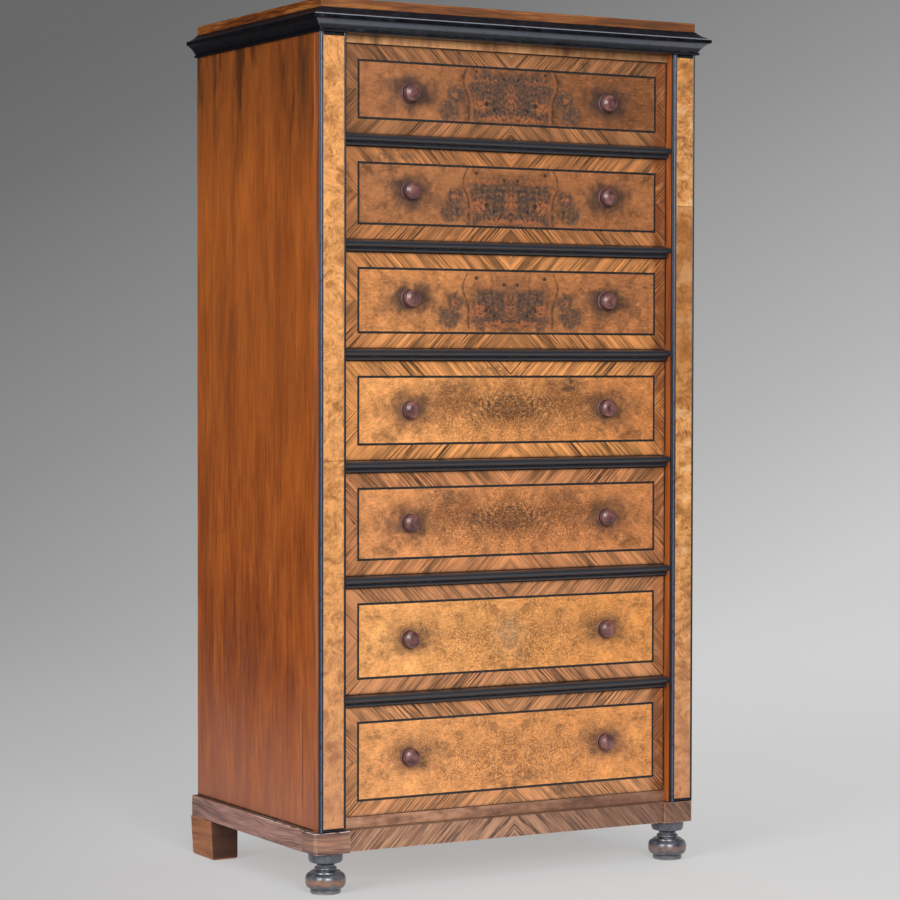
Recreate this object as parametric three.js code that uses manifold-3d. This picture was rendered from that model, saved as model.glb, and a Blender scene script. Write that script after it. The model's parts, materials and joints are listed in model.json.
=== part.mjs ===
// A semainier: a tall chest of seven drawers that grow deeper from the top down.
// Millimetres, +Z up. X runs along the front, Y from the front to the back, and the
// origin is on the floor under the middle of the whole chest.

import * as THREE from 'three';
import { mergeVertices } from 'three/addons/utils/BufferGeometryUtils.js';
import Module from 'manifold-3d';

const wasm = await Module();
wasm.setup();

// Case
const caseWidth = 760;
const caseDepth = 500; // from the pilaster faces to the back
const frontRecess = 26; // the drawer fronts lie this far behind the pilaster faces
const sideThickness = 20;
const backThickness = 12;
const backRebate = 9; // how far the back panel enters each side
const backBoardCount = 5;
const backGroove = 2; // width and depth of the grooves between the back's boards
const housingDepth = 6; // depth of the grooves in the sides that hold the dividers
const seam = 0.2; // gap left at every glued or resting joint
const overrun = 4; // how far every cutter passes beyond what it cuts
const weld = 0.001; // points closer than this are one point

// Levels, from the floor up
const footHeight = 71.4;
const plinthHeight = 37.5;
const bottomThickness = 18.3;
const drawerCount = 7;
const topFrontHeight = 152.8;
const frontGrowth = 6; // each drawer front is this much taller than the one above
const runningGap = 0.4; // under each drawer
const headGap = 1.2; // over each drawer
const dividerThickness = 19.4;
const friezeShow = 12.8; // the strip of frieze rail seen under the cornice
const friezeThickness = 20;
const corniceHeight = 41.5;
const capHeight = 16;
const capInset = 1;
const capEase = 0.8;

// Dividers
const guideHeight = 9;
const guideGap = 0.6; // between a guide and the drawer side that runs along it
const dustBoardThickness = 9;
const dividerRailDepth = 60;
const runnerWidth = 55;

// Pilasters. The two aren't equally wide, so the opening lies a little to the right.
const leftPilasterWidth = 49.5;
const rightPilasterWidth = 45.2;
const beadRadius = 2.7; // of the beads down both front edges
const endBeadRadius = 3; // of the beads across both ends

// Mouldings between the drawers
const railReach = 17.4;
const railLipReach = 2.5;
const railLipHeight = 1.2;
const railNoseHeight = 12.6;
const railNoseShare = 0.38; // how far down the nose its greatest reach lies
const railBeadRadius = 2;
const railBeadReach = 9.2;
const railGrooveReach = 6.4;

// Cornice
const corniceReach = 21.4;
const corniceBeadRadius = 2.3;
const corniceBeadReach = 5.9;
const corniceQuirk = 0.8;
const coveFootReach = 3.3;
const noseFoot = 20.9; // height of the nose's lower edge above the cornice's foot
const noseHeight = 8;
const noseEase = 3.2;
const coveControlShares = [0.3, 0.6];
const slopeControlShares = [0.3, 0.38];

// Plinth: boards between solid corner blocks at the front. It sits a little to the left.
const plinthShift = 6.2;
const plinthOverhang = 5.8; // of a block's outer face, beyond the case's side
const leftBlockWidth = 67.5;
const rightBlockWidth = 61.5;
const blockSetback = -2; // of the blocks' faces, behind the pilaster faces
const blockSideDepth = 48; // what a block shows at the plinth's side
const blockLap = 16; // how much further a block runs back inside the side board
const blockCant = 4; // of a block's outer corner
const blockFootRadius = 4;
const boardSetback = 10.5; // of the front board, behind the blocks' faces
const boardInset = 0.4; // of the side boards, inside the blocks' outer faces
const plinthThickness = 18;
const plinthEase = 1.8;

// Turned front feet: radii, and heights from the floor up
const footInset = 29; // of the feet's axes, inside the case's sides
const footSetback = 38; // of the feet's axes, behind the pilaster faces
const tenonRadius = 10;
const tenonLength = 30;
const soleRadius = 25.3;
const padRadius = 26.5;
const padHeight = 8;
const bunRadius = 35;
const bunHeight = 26.4;
const bunWaistRadius = 26.5;
const ringRadius = 25.6;
const ringHeight = 2.4;
const waistHeight = 1.6;
const torusRadius = 19.4;
const torusHeight = 6.2;
const neckRadius = 15.4;
const neckHeight = 2;
const coveHeight = 6.2;
const lipRadius = 27.2;
const collarRadius = 29.8;
const collarEase = 2.6;
const footQuirk = 0.8;

// Rear block feet
const rearFootWidth = 53;
const rearFootDepth = 88;
const rearFootProud = 2.2; // of their outer faces, outside the side boards' faces
const rearFootTaper = 4;
const rearFootEase = 5;

// Drawers
const sideGap = 1; // between a drawer and the pilaster beside it
const frontThickness = 20;
const frontLap = 5; // skin of the front left in front of the dovetails
const drawerBackRoom = 17; // between a drawer and the back panel
const drawerSideThickness = 11;
const drawerBackDrop = 8; // the back stands this much lower than the sides
const drawerSideDrop = 2;
const drawerBottomThickness = 7;
const drawerBottomLift = 5; // of the bottom panel above the sides' lower edges
const grooveDepth = 6;
const boardEntry = 4; // how far the drawer's back and bottom enter its sides
const tailCount = 4;
const tailWidthShare = 0.42;
const tailSlopeShare = 0.17;

// Knobs
const knobSpacing = 401;
const knobShift = 1.5; // of each pair of knobs, to the right of the drawer's middle
const knobLifts = [-3, 6, 4, 1, 0.5, 0, 3]; // over the drawer's middle, from the top drawer
const spigotRadius = 5;
const flangeRadius = 15.6;
const flangeThickness = 5.4;
const knobNeckRadius = 12.8;
const knobNeckLength = 2.2;
const faceRadius = 14.8;
const faceThickness = 10;
const faceDome = 3;
const faceDish = 0.6;
const faceDishRadius = 6;

// Fineness of the round forms, in segments
const arcSegments = 4;
const knobSegments = 2;
const footSides = 20;
const knobSides = 16;

const halfCase = caseWidth / 2;
const innerHalf = halfCase - sideThickness;
const openingHalf = (caseWidth - leftPilasterWidth - rightPilasterWidth) / 2;
const openingShift = (leftPilasterWidth - rightPilasterWidth) / 2;
const blockHalfSpan = halfCase + plinthOverhang; // from the plinth's middle
const footHalfSpan = halfCase - footInset;
const drawerLength = caseDepth - frontRecess - backThickness - drawerBackRoom;
const panelTop = drawerBottomLift + drawerBottomThickness; // over a drawer's lower edge
const faceY = (corniceReach - caseDepth) / 2;
const recessY = faceY + frontRecess;
const backY = faceY + caseDepth;
const plinthTop = footHeight + plinthHeight;
const bottomTop = plinthTop + bottomThickness;

const drawers = drawerLevels();
const friezeBottom = drawers[0].bottom + drawers[0].height + headGap;
const corniceBottom = friezeBottom + friezeShow;
const corniceTop = corniceBottom + corniceHeight;

function drawerLevels() {
  const levels = [];
  let bottom = bottomTop + runningGap;
  for (let number = drawerCount; number >= 1; number -= 1) {
    const height = topFrontHeight + frontGrowth * (number - 1);
    levels.unshift({ number, bottom, height });
    bottom += height + headGap + dividerThickness + runningGap;
  }
  return levels;
}

// Woods and finishes
const burrWalnut = finish(0xc88a50, 0.34);
const walnut = finish(0xa9713f, 0.42);
const mahogany = finish(0x8f5030, 0.4);
const ebonised = finish(0x2a2a2e, 0.3);
const knobWood = finish(0x6e4a45, 0.3);
const innerWood = finish(0xb98f5e, 0.75);

function finish(color, roughness) {
  return { color, roughness, metalness: 0 };
}

// Solids: closed meshes to and from the boolean library
function solidOf(geometry) {
  const bare = geometry.clone();
  bare.deleteAttribute('normal');
  bare.deleteAttribute('uv');
  const merged = mergeVertices(bare, weld);
  const corners = merged.index.array;
  const kept = [];
  for (let i = 0; i < corners.length; i += 3) {
    const [a, b, c] = corners.slice(i, i + 3);
    if (a !== b && b !== c && c !== a) {
      kept.push(a, b, c);
    }
  }
  return new wasm.Manifold(new wasm.Mesh({
    numProp: 3,
    vertProperties: new Float32Array(merged.attributes.position.array),
    triVerts: new Uint32Array(kept),
  }));
}

function geometryOf(solid) {
  const mesh = solid.getMesh();
  const geometry = new THREE.BufferGeometry();
  geometry.setAttribute('position', new THREE.BufferAttribute(mesh.vertProperties, 3));
  geometry.setIndex(new THREE.BufferAttribute(mesh.triVerts, 1));
  const flat = geometry.toNonIndexed();
  flat.computeVertexNormals();
  return flat;
}

function cut(geometry, cutters) {
  let solid = solidOf(geometry);
  for (const cutter of cutters) {
    solid = solid.subtract(solidOf(cutter));
  }
  return geometryOf(solid);
}

function fuse(pieces) {
  let solid = solidOf(pieces[0]);
  for (const piece of pieces.slice(1)) {
    solid = solid.add(solidOf(piece));
  }
  return geometryOf(solid);
}

// Outlines pushed out along one axis, starting at zero on it
const xAxis = new THREE.Vector3(1, 0, 0);
const yAxis = new THREE.Vector3(0, 1, 0);
const zAxis = new THREE.Vector3(0, 0, 1);

function alongZ(shape, length) {
  const options = { depth: length, bevelEnabled: false, curveSegments: arcSegments };
  return new THREE.ExtrudeGeometry(shape, options);
}

function alongX(shape, length) {
  const turn = new THREE.Matrix4().makeBasis(yAxis, zAxis, xAxis);
  return alongZ(shape, length).applyMatrix4(turn);
}

function alongY(shape, length) {
  const turn = new THREE.Matrix4().makeBasis(xAxis, zAxis, yAxis.clone().negate());
  return alongZ(shape, length).applyMatrix4(turn).translate(0, length, 0);
}

function outline(points) {
  return new THREE.Shape(points.map(([u, v]) => new THREE.Vector2(u, v)));
}

function rectangle(u0, v0, u1, v1) {
  return outline([[u0, v0], [u1, v0], [u1, v1], [u0, v1]]);
}

// A block between two corners
function block(low, high) {
  const [x0, y0, z0] = low;
  const [x1, y1, z1] = high;
  const geometry = new THREE.BoxGeometry(x1 - x0, y1 - y0, z1 - z0);
  return geometry.translate((x0 + x1) / 2, (y0 + y1) / 2, (z0 + z1) / 2);
}

function turned(path, segments, sides) {
  const geometry = new THREE.LatheGeometry(path.getPoints(segments), sides);
  return geometry.rotateX(Math.PI / 2);
}

function piece(name, geometry, material, x, y, z) {
  const mesh = new THREE.Mesh(geometry, new THREE.MeshStandardMaterial(material));
  mesh.name = name;
  mesh.position.set(x, y, z);
  return mesh;
}

// Sides: boards with a rebate for the back and housings for the dividers.
// The board's outer face is at x = 0 and the chest's inside lies on the side of "inward".
function sidePanel(name, inward) {
  const depth = caseDepth - frontRecess;
  const height = corniceTop - plinthTop - seam * 2;
  const rebateWall = sideThickness - backRebate;
  const plan = outline([
    [0, 0],
    [inward * sideThickness, 0],
    [inward * sideThickness, depth - backThickness],
    [inward * rebateWall, depth - backThickness],
    [inward * rebateWall, depth],
    [0, depth],
  ]);
  const floor = plinthTop + seam;
  const housings = [housing(inward, depth, -overrun, bottomTop + seam - floor)];
  for (const { bottom } of drawers.slice(0, -1)) {
    const top = bottom - runningGap + seam - floor;
    housings.push(housing(inward, depth, top - dividerThickness - seam * 2, top));
  }
  const geometry = cut(alongZ(plan, height), housings);
  return piece(name, geometry, mahogany, -inward * halfCase, recessY, floor);
}

function housing(inward, depth, low, high) {
  const wall = inward * (sideThickness - housingDepth);
  const open = inward * (sideThickness + overrun);
  const length = depth - backThickness - seam;
  const slot = rectangle(Math.min(wall, open), low, Math.max(wall, open), high);
  return alongY(slot, length + overrun).translate(0, -overrun, 0);
}

// Back: upright boards side by side, with a fine groove at each joint
function backPanel() {
  const width = (innerHalf + backRebate - seam) * 2;
  const pitch = width / backBoardCount;
  const thickness = backThickness - seam;
  const points = [[0, 0], [width, 0], [width, thickness]];
  for (let joint = backBoardCount - 1; joint >= 1; joint -= 1) {
    const centre = pitch * joint;
    points.push([centre + backGroove / 2, thickness]);
    points.push([centre, thickness - backGroove]);
    points.push([centre - backGroove / 2, thickness]);
  }
  points.push([0, thickness]);
  const height = corniceTop - plinthTop - seam * 2;
  const geometry = alongZ(outline(points), height).translate(-width / 2, 0, 0);
  return piece('back_panel', geometry, innerWood, 0, backY - thickness, plinthTop + seam);
}

// Dividers: a front rail and two runners round a thinner dust board, with a guide at each
// end that keeps the drawer straight
function dividerSection(thickness) {
  const half = innerHalf + housingDepth - seam;
  const reach = openingHalf - sideGap + guideGap;
  const left = openingShift - reach;
  const right = openingShift + reach;
  const wall = innerHalf - seam;
  const top = thickness + guideHeight;
  return outline([
    [-half, 0], [half, 0], [half, thickness], [wall, thickness], [wall, top], [right, top],
    [right, thickness], [left, thickness], [left, top], [-wall, top],
    [-wall, thickness], [-half, thickness],
  ]);
}

function divider({ number, bottom }) {
  const length = caseDepth - frontRecess - backThickness - seam * 3;
  const side = innerHalf - runnerWidth;
  const pocket = block(
    [-side, dividerRailDepth, -overrun],
    [side, length - dividerRailDepth, dividerThickness - dustBoardThickness],
  );
  const geometry = cut(alongY(dividerSection(dividerThickness), length), [pocket]);
  const level = bottom - runningGap - dividerThickness;
  return piece(`divider_${number}`, geometry, innerWood, 0, recessY + seam, level);
}

function bottomBoard() {
  const length = caseDepth - frontRecess - backThickness - seam * 3;
  const geometry = alongY(dividerSection(bottomThickness), length);
  return piece('bottom_board', geometry, walnut, 0, recessY + seam, plinthTop + seam / 2);
}

function friezeRail() {
  const half = innerHalf - seam;
  const height = corniceTop - friezeBottom - seam;
  const geometry = block([-half, 0, 0], [half, friezeThickness, height]);
  return piece('frieze_rail', geometry, walnut, 0, recessY + seam, friezeBottom);
}

function cap() {
  const half = halfCase - capInset;
  const depth = caseDepth - capInset;
  const plan = rectangle(-half + capEase, capEase, half - capEase, depth - capEase);
  const geometry = new THREE.ExtrudeGeometry(plan, {
    depth: capHeight - capEase * 2,
    bevelSize: capEase,
    bevelThickness: capEase,
    bevelSegments: 1,
  }).translate(0, 0, capEase);
  return piece('cap_board', geometry, mahogany, 0, faceY + capInset, corniceTop);
}

// Pilasters: posts planted on the sides' front edges. A bead is worked down each front
// edge, and a smaller one across each end, so that they frame the veneered face.
function pilasterPlan(width, depth) {
  const half = width / 2;
  const inner = half - beadRadius;
  const shape = new THREE.Shape();
  shape.moveTo(half, depth);
  shape.lineTo(-half, depth);
  shape.lineTo(-half, beadRadius * 2);
  addArc(shape, -inner, beadRadius, beadRadius, Math.PI * 0.75, Math.PI * 1.75);
  shape.lineTo(-half + beadRadius * 2, 0);
  shape.lineTo(half - beadRadius * 2, 0);
  addArc(shape, inner, beadRadius, beadRadius, Math.PI * 1.25, Math.PI * 2.25);
  shape.lineTo(half, beadRadius * 2);
  return shape;
}

function addArc(shape, x, y, radius, from, to) {
  shape.absarc(x, y, radius, from, to, from > to);
}

// What a bead across the lower end leaves outside itself
function endBeadWaste() {
  const radius = endBeadRadius;
  const shape = new THREE.Shape();
  shape.moveTo(0, radius * 2);
  shape.lineTo(-overrun, radius * 2);
  shape.lineTo(-overrun, -overrun);
  shape.lineTo(radius, -overrun);
  addArc(shape, radius, radius, radius, Math.PI * 1.5, Math.PI * 0.75);
  return shape;
}

function pilaster(name, side, width) {
  const height = corniceBottom - plinthTop - seam * 2;
  const faceHalf = width / 2 - beadRadius * 2;
  const low = solidOf(alongX(endBeadWaste(), faceHalf * 2).translate(-faceHalf, 0, 0));
  const high = low.mirror([0, 0, 1]).translate([0, 0, height]);
  const shaft = solidOf(alongZ(pilasterPlan(width, frontRecess - seam), height));
  const geometry = geometryOf(shaft.subtract(low).subtract(high));
  const x = side * (halfCase - width / 2);
  return piece(name, geometry, burrWalnut, x, faceY, plinthTop + seam);
}

// Mouldings on the dividers' front edges: a swelling nose over a small bead. The back
// lies at zero and the moulding reaches towards -Y.
function railOutline() {
  const noseTop = dividerThickness - railLipHeight;
  const noseFoot = dividerThickness - railNoseHeight;
  const widest = noseTop - (noseTop - noseFoot) * railNoseShare;
  const beadOut = railBeadRadius - railBeadReach;
  const beadUp = (noseFoot - railLipHeight) / 2;
  const shape = new THREE.Shape();
  shape.moveTo(0, 0);
  shape.lineTo(0, dividerThickness);
  shape.lineTo(-railLipReach, dividerThickness);
  shape.quadraticCurveTo(-railReach, dividerThickness, -railReach, widest);
  shape.quadraticCurveTo(-railReach, noseFoot, -railGrooveReach, noseFoot);
  shape.lineTo(beadOut, beadUp + railBeadRadius);
  addArc(shape, beadOut, beadUp, railBeadRadius, Math.PI / 2, Math.PI * 1.5);
  shape.lineTo(-railGrooveReach, 0);
  return shape;
}

function railMoulding({ number, bottom }) {
  const length = (openingHalf - seam) * 2;
  const geometry = alongX(railOutline(), length).translate(-length / 2, 0, 0);
  const level = bottom - runningGap - dividerThickness;
  return piece(`rail_moulding_${number}`, geometry, ebonised, openingShift, recessY, level);
}

// Cornice: a bead, a cove, an upright nose and a hollow slope back to the cap
function corniceOutline(back) {
  const reach = corniceReach;
  const noseTop = noseFoot + noseHeight;
  const beadOut = corniceBeadRadius - corniceBeadReach;
  const quirkTop = corniceBeadRadius * 2 + corniceQuirk;
  const [coveOutShare, coveUpShare] = coveControlShares;
  const [slopeOutShare, slopeUpShare] = slopeControlShares;
  const shape = new THREE.Shape();
  shape.moveTo(back, 0);
  shape.lineTo(beadOut, 0);
  shape.absarc(beadOut, corniceBeadRadius, corniceBeadRadius, Math.PI * 1.5, Math.PI / 2, true);
  shape.lineTo(-coveFootReach, quirkTop);
  shape.quadraticCurveTo(
    -coveFootReach - (reach - coveFootReach) * coveOutShare,
    quirkTop + (noseFoot - quirkTop) * coveUpShare,
    -reach + noseEase,
    noseFoot,
  );
  shape.quadraticCurveTo(-reach, noseFoot, -reach, noseFoot + noseEase);
  shape.lineTo(-reach, noseTop - noseEase);
  shape.quadraticCurveTo(-reach, noseTop, -reach + noseEase, noseTop);
  shape.quadraticCurveTo(
    -reach * slopeOutShare,
    noseTop + (corniceHeight - noseTop) * slopeUpShare,
    Math.min(0, back),
    corniceHeight - seam,
  );
  shape.lineTo(Math.max(0, back), corniceHeight - seam);
  return shape;
}

// Plan of what lies beyond the mitre at the right end of the front length
function mitreWaste() {
  const far = corniceReach + overrun;
  return outline([
    [0, frontRecess + overrun], [0, 0], [far, -far], [far + overrun, -far],
    [far + overrun, frontRecess + overrun],
  ]);
}

function corniceFront() {
  const length = (halfCase + corniceReach) * 2;
  const bar = alongX(corniceOutline(frontRecess - seam), length);
  const waste = solidOf(alongZ(mitreWaste(), corniceHeight + overrun * 2));
  const right = waste.translate([halfCase - seam, 0, -overrun]);
  const left = right.mirror([1, 0, 0]);
  const solid = solidOf(bar.translate(-length / 2, 0, 0)).subtract(right).subtract(left);
  return piece('cornice_front', geometryOf(solid), ebonised, 0, faceY, corniceBottom);
}

// A return runs back from its mitre along one side of the case
function corniceReturn(name, side) {
  const length = caseDepth + corniceReach;
  const far = corniceReach + overrun;
  const profile = corniceOutline(-seam);
  const bar = alongX(profile, length);
  bar.applyMatrix4(new THREE.Matrix4().makeBasis(yAxis, xAxis.clone().negate(), zAxis));
  bar.translate(0, -corniceReach, 0);
  const waste = alongZ(
    outline([[-overrun, overrun], [far, -far], [far, -far - overrun], [-overrun, -far - overrun]]),
    corniceHeight + overrun * 2,
  ).translate(0, 0, -overrun);
  let solid = solidOf(bar).subtract(solidOf(waste));
  if (side < 0) {
    solid = solid.mirror([1, 0, 0]);
  }
  return piece(name, geometryOf(solid), ebonised, side * halfCase, faceY, corniceBottom);
}

// Plinth boards on edge, with a softened top edge outside
function plinthSection() {
  const height = plinthHeight - seam;
  const shape = new THREE.Shape();
  shape.moveTo(0, 0);
  shape.lineTo(plinthThickness, 0);
  shape.lineTo(plinthThickness, height);
  shape.lineTo(plinthEase, height);
  addArc(shape, plinthEase, height - plinthEase, plinthEase, Math.PI / 2, Math.PI);
  return shape;
}

function plinthFront() {
  const left = leftBlockWidth + seam - blockHalfSpan;
  const right = blockHalfSpan - rightBlockWidth - seam;
  const geometry = alongX(plinthSection(), right - left).translate(left, 0, 0);
  const y = faceY + blockSetback + boardSetback;
  return piece('plinth_front', geometry, burrWalnut, 0, y, footHeight + seam);
}

function plinthSide(name, side) {
  const y = faceY + blockSetback + blockSideDepth + seam;
  let solid = solidOf(alongY(plinthSection(), backY - y));
  if (side > 0) {
    solid = solid.mirror([1, 0, 0]);
  }
  const x = side * (blockHalfSpan - boardInset);
  return piece(name, geometryOf(solid), mahogany, x, y, footHeight + seam);
}

// Corner blocks under the pilasters, canted at the outer corner and rebated at the back
// for the side board's end. "side" is -1 at the left and 1 at the right.
function plinthBlock(name, side, width) {
  const height = plinthHeight - seam;
  const lap = boardInset + plinthThickness + seam;
  const plan = new THREE.Shape();
  plan.moveTo(-width, blockSideDepth + blockLap);
  plan.lineTo(-width, 0);
  plan.lineTo(-blockCant, 0);
  plan.lineTo(0, blockCant);
  plan.lineTo(0, blockSideDepth);
  plan.lineTo(-lap, blockSideDepth);
  plan.lineTo(-lap, blockSideDepth + blockLap);
  const front = new THREE.Shape();
  front.moveTo(-width, height);
  front.lineTo(-width, 0);
  front.lineTo(-blockFootRadius, 0);
  addArc(front, -blockFootRadius, blockFootRadius, blockFootRadius, -Math.PI / 2, 0);
  front.lineTo(0, height);
  let solid = solidOf(alongZ(plan, height));
  solid = solid.intersect(solidOf(alongY(front, blockSideDepth + blockLap)));
  if (side < 0) {
    solid = solid.mirror([1, 0, 0]);
  }
  const x = side * blockHalfSpan;
  const y = faceY + blockSetback;
  const hole = new THREE.CylinderGeometry(
    tenonRadius + seam, tenonRadius + seam, (tenonLength + seam) * 2, footSides,
  ).rotateX(Math.PI / 2);
  hole.translate(side * footHalfSpan + plinthShift - x, faceY + footSetback - y, 0);
  solid = solid.subtract(solidOf(hole));
  return piece(name, geometryOf(solid), walnut, x, y, footHeight + seam);
}

// Turned front feet, each with a tenon up into its corner block
function footProfile() {
  const path = new THREE.Path();
  const bunFoot = padHeight + footQuirk;
  const ringFoot = bunFoot + bunHeight;
  const torusFoot = ringFoot + ringHeight + waistHeight;
  const torusMiddle = torusFoot + torusHeight / 2;
  const coveFoot = torusFoot + torusHeight + neckHeight;
  const lipFoot = coveFoot + coveHeight;
  path.moveTo(0, 0);
  path.lineTo(soleRadius, 0);
  path.quadraticCurveTo(padRadius, 0, padRadius, padHeight / 2);
  path.lineTo(padRadius, padHeight);
  path.lineTo(padRadius - footQuirk, bunFoot);
  path.quadraticCurveTo(bunRadius, bunFoot, bunRadius, bunFoot + bunHeight / 2);
  path.quadraticCurveTo(bunRadius, ringFoot - footQuirk, bunWaistRadius, ringFoot);
  path.lineTo(ringRadius, ringFoot + ringHeight);
  path.lineTo(neckRadius, ringFoot + ringHeight);
  path.lineTo(neckRadius, torusFoot);
  path.quadraticCurveTo(torusRadius, torusFoot, torusRadius, torusMiddle);
  path.quadraticCurveTo(torusRadius, coveFoot - neckHeight, neckRadius, coveFoot - neckHeight);
  path.lineTo(neckRadius, coveFoot);
  path.quadraticCurveTo(neckRadius, lipFoot - footQuirk, lipRadius, lipFoot);
  path.quadraticCurveTo(collarRadius, lipFoot, collarRadius, lipFoot + collarEase);
  path.lineTo(collarRadius, footHeight - footQuirk);
  path.lineTo(collarRadius - footQuirk, footHeight);
  path.lineTo(tenonRadius, footHeight);
  path.lineTo(tenonRadius, footHeight + tenonLength);
  path.lineTo(0, footHeight + tenonLength);
  return path;
}

function turnedFoot(name, side) {
  const geometry = turned(footProfile(), arcSegments, footSides);
  return piece(name, geometry, ebonised, side * footHalfSpan, faceY + footSetback, 0);
}

// Rear feet: blocks that taper a little at the outside and stand up inside the plinth
function rearFoot(name, side) {
  const ease = rearFootEase;
  const notch = rearFootProud + plinthThickness + seam;
  const face = new THREE.Shape();
  face.moveTo(notch, plinthTop);
  face.lineTo(notch, footHeight);
  face.lineTo(0, footHeight);
  face.lineTo(rearFootTaper, ease);
  addArc(face, rearFootTaper + ease, ease, ease, Math.PI, Math.PI * 1.5);
  face.lineTo(rearFootWidth - ease, 0);
  addArc(face, rearFootWidth - ease, ease, ease, -Math.PI / 2, 0);
  face.lineTo(rearFootWidth, plinthTop);
  const flank = new THREE.Shape();
  flank.moveTo(0, plinthTop);
  flank.lineTo(0, ease);
  addArc(flank, ease, ease, ease, Math.PI, Math.PI * 1.5);
  flank.lineTo(rearFootDepth - ease, 0);
  addArc(flank, rearFootDepth - ease, ease, ease, -Math.PI / 2, 0);
  flank.lineTo(rearFootDepth, plinthTop);
  let solid = solidOf(alongY(face, rearFootDepth));
  solid = solid.intersect(solidOf(alongX(flank, rearFootWidth)));
  if (side > 0) {
    solid = solid.mirror([1, 0, 0]);
  }
  const x = side * (blockHalfSpan - boardInset + rearFootProud);
  return piece(name, geometryOf(solid), mahogany, x, backY - rearFootDepth, 0);
}

// Drawers. In a drawer's own frame the front's face is at y = 0 and its lower edge at
// z = 0; the sides are flush with the front's ends.
const frontHalf = openingHalf - sideGap;

// Dovetails of one side board, seen from the side, all above the bottom panel's groove;
// "play" widens the sockets cut for them
function addTails(shape, sideHeight, play) {
  const pitch = (sideHeight - panelTop) / tailCount;
  const tailTip = frontLap - play + seam;
  const flare = (frontThickness - frontLap) * tailSlopeShare;
  const root = (pitch * tailWidthShare) / 2 + play;
  for (let tail = tailCount - 1; tail >= 0; tail -= 1) {
    const centre = panelTop + pitch * (tail + 1 / 2);
    shape.lineTo(frontThickness + seam, centre + root);
    shape.lineTo(tailTip, centre + root + flare);
    shape.lineTo(tailTip, centre - root - flare);
    shape.lineTo(frontThickness + seam, centre - root);
  }
}

function drawerSide(sideHeight) {
  const shape = new THREE.Shape();
  shape.moveTo(frontThickness + seam, 0);
  shape.lineTo(drawerLength, 0);
  shape.lineTo(drawerLength, sideHeight);
  shape.lineTo(frontThickness + seam, sideHeight);
  addTails(shape, sideHeight, 0);
  return alongX(shape, drawerSideThickness);
}

function socketCutters(sideHeight) {
  const shape = new THREE.Shape();
  shape.moveTo(frontThickness + seam + overrun, 0);
  shape.lineTo(frontThickness + seam + overrun, sideHeight);
  addTails(shape, sideHeight, seam);
  const width = drawerSideThickness + seam + overrun;
  const cutter = alongX(shape, width);
  return [
    cutter.clone().translate(-frontHalf - overrun, 0, 0),
    cutter.translate(frontHalf - drawerSideThickness - seam, 0, 0),
  ];
}

function drawerFront({ number, bottom, height }) {
  const sideHeight = height - drawerSideDrop;
  const board = block([-frontHalf, 0, 0], [frontHalf, frontThickness, height]);
  const inside = frontHalf - drawerSideThickness + boardEntry + seam;
  const groove = block(
    [-inside, frontThickness - grooveDepth, drawerBottomLift - seam],
    [inside, frontThickness + overrun, panelTop + seam],
  );
  const holes = [-1, 1].map((side) => {
    const hole = new THREE.CylinderGeometry(
      spigotRadius + seam, spigotRadius + seam, (frontThickness + overrun) * 2, knobSides,
    );
    return hole.translate(knobX(side), 0, knobLevel(number, height));
  });
  const geometry = cut(board, [groove, ...holes, ...socketCutters(sideHeight)]);
  return piece(`drawer_front_${number}`, geometry, burrWalnut, openingShift, recessY, bottom);
}

function drawerBox({ number, bottom, height }) {
  const sideHeight = height - drawerSideDrop;
  const inside = frontHalf - drawerSideThickness + boardEntry;
  const left = drawerSide(sideHeight).translate(-frontHalf, 0, 0);
  const right = drawerSide(sideHeight).translate(frontHalf - drawerSideThickness, 0, 0);
  const panel = block(
    [-inside, frontThickness - grooveDepth + seam, drawerBottomLift],
    [inside, drawerLength, panelTop],
  );
  const back = block(
    [-inside, drawerLength - drawerSideThickness, panelTop - boardEntry],
    [inside, drawerLength, sideHeight - drawerBackDrop],
  );
  const geometry = fuse([left, right, panel, back]);
  return piece(`drawer_box_${number}`, geometry, innerWood, openingShift, recessY, bottom);
}

// Knobs: a flange against the front, a fine neck, and a domed face with a shallow dish,
// held by a spigot in a hole through the front. Turned round an axis that points at -Y.
function knobProfile() {
  const path = new THREE.Path();
  const neckFoot = flangeThickness;
  const faceFoot = neckFoot + knobNeckLength;
  const rim = faceFoot + faceThickness;
  path.moveTo(0, seam - frontThickness);
  path.lineTo(spigotRadius, seam - frontThickness);
  path.lineTo(spigotRadius, 0);
  path.lineTo(flangeRadius - seam, 0);
  path.quadraticCurveTo(
    flangeRadius + flangeThickness / 4, flangeThickness / 2, flangeRadius - seam, flangeThickness,
  );
  path.lineTo(knobNeckRadius, neckFoot);
  path.lineTo(knobNeckRadius, faceFoot);
  path.lineTo(faceRadius - seam, faceFoot);
  path.quadraticCurveTo(faceRadius + seam, rim, faceRadius - faceDome / 2, rim);
  path.quadraticCurveTo(
    faceRadius / 2, rim + faceDome, faceDishRadius, rim + faceDome - faceDish / 2,
  );
  path.lineTo(0, rim + faceDome - faceDish);
  return path;
}

function knob(name, side, { number, bottom, height }) {
  const geometry = turned(knobProfile(), knobSegments, knobSides).rotateX(Math.PI / 2);
  const x = openingShift + knobX(side);
  const z = bottom + knobLevel(number, height);
  return piece(name, geometry, knobWood, x, recessY - seam, z);
}

// A knob's place on its drawer's front, from the front's middle and lower edge
function knobX(side) {
  return knobShift + (side * knobSpacing) / 2;
}

function knobLevel(number, height) {
  return height / 2 + knobLifts[number - 1];
}

function drawer(level) {
  const group = new THREE.Group();
  group.add(drawerFront(level));
  group.add(drawerBox(level));
  group.add(knob(`knob_left_${level.number}`, -1, level));
  group.add(knob(`knob_right_${level.number}`, 1, level));
  return group;
}

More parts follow.
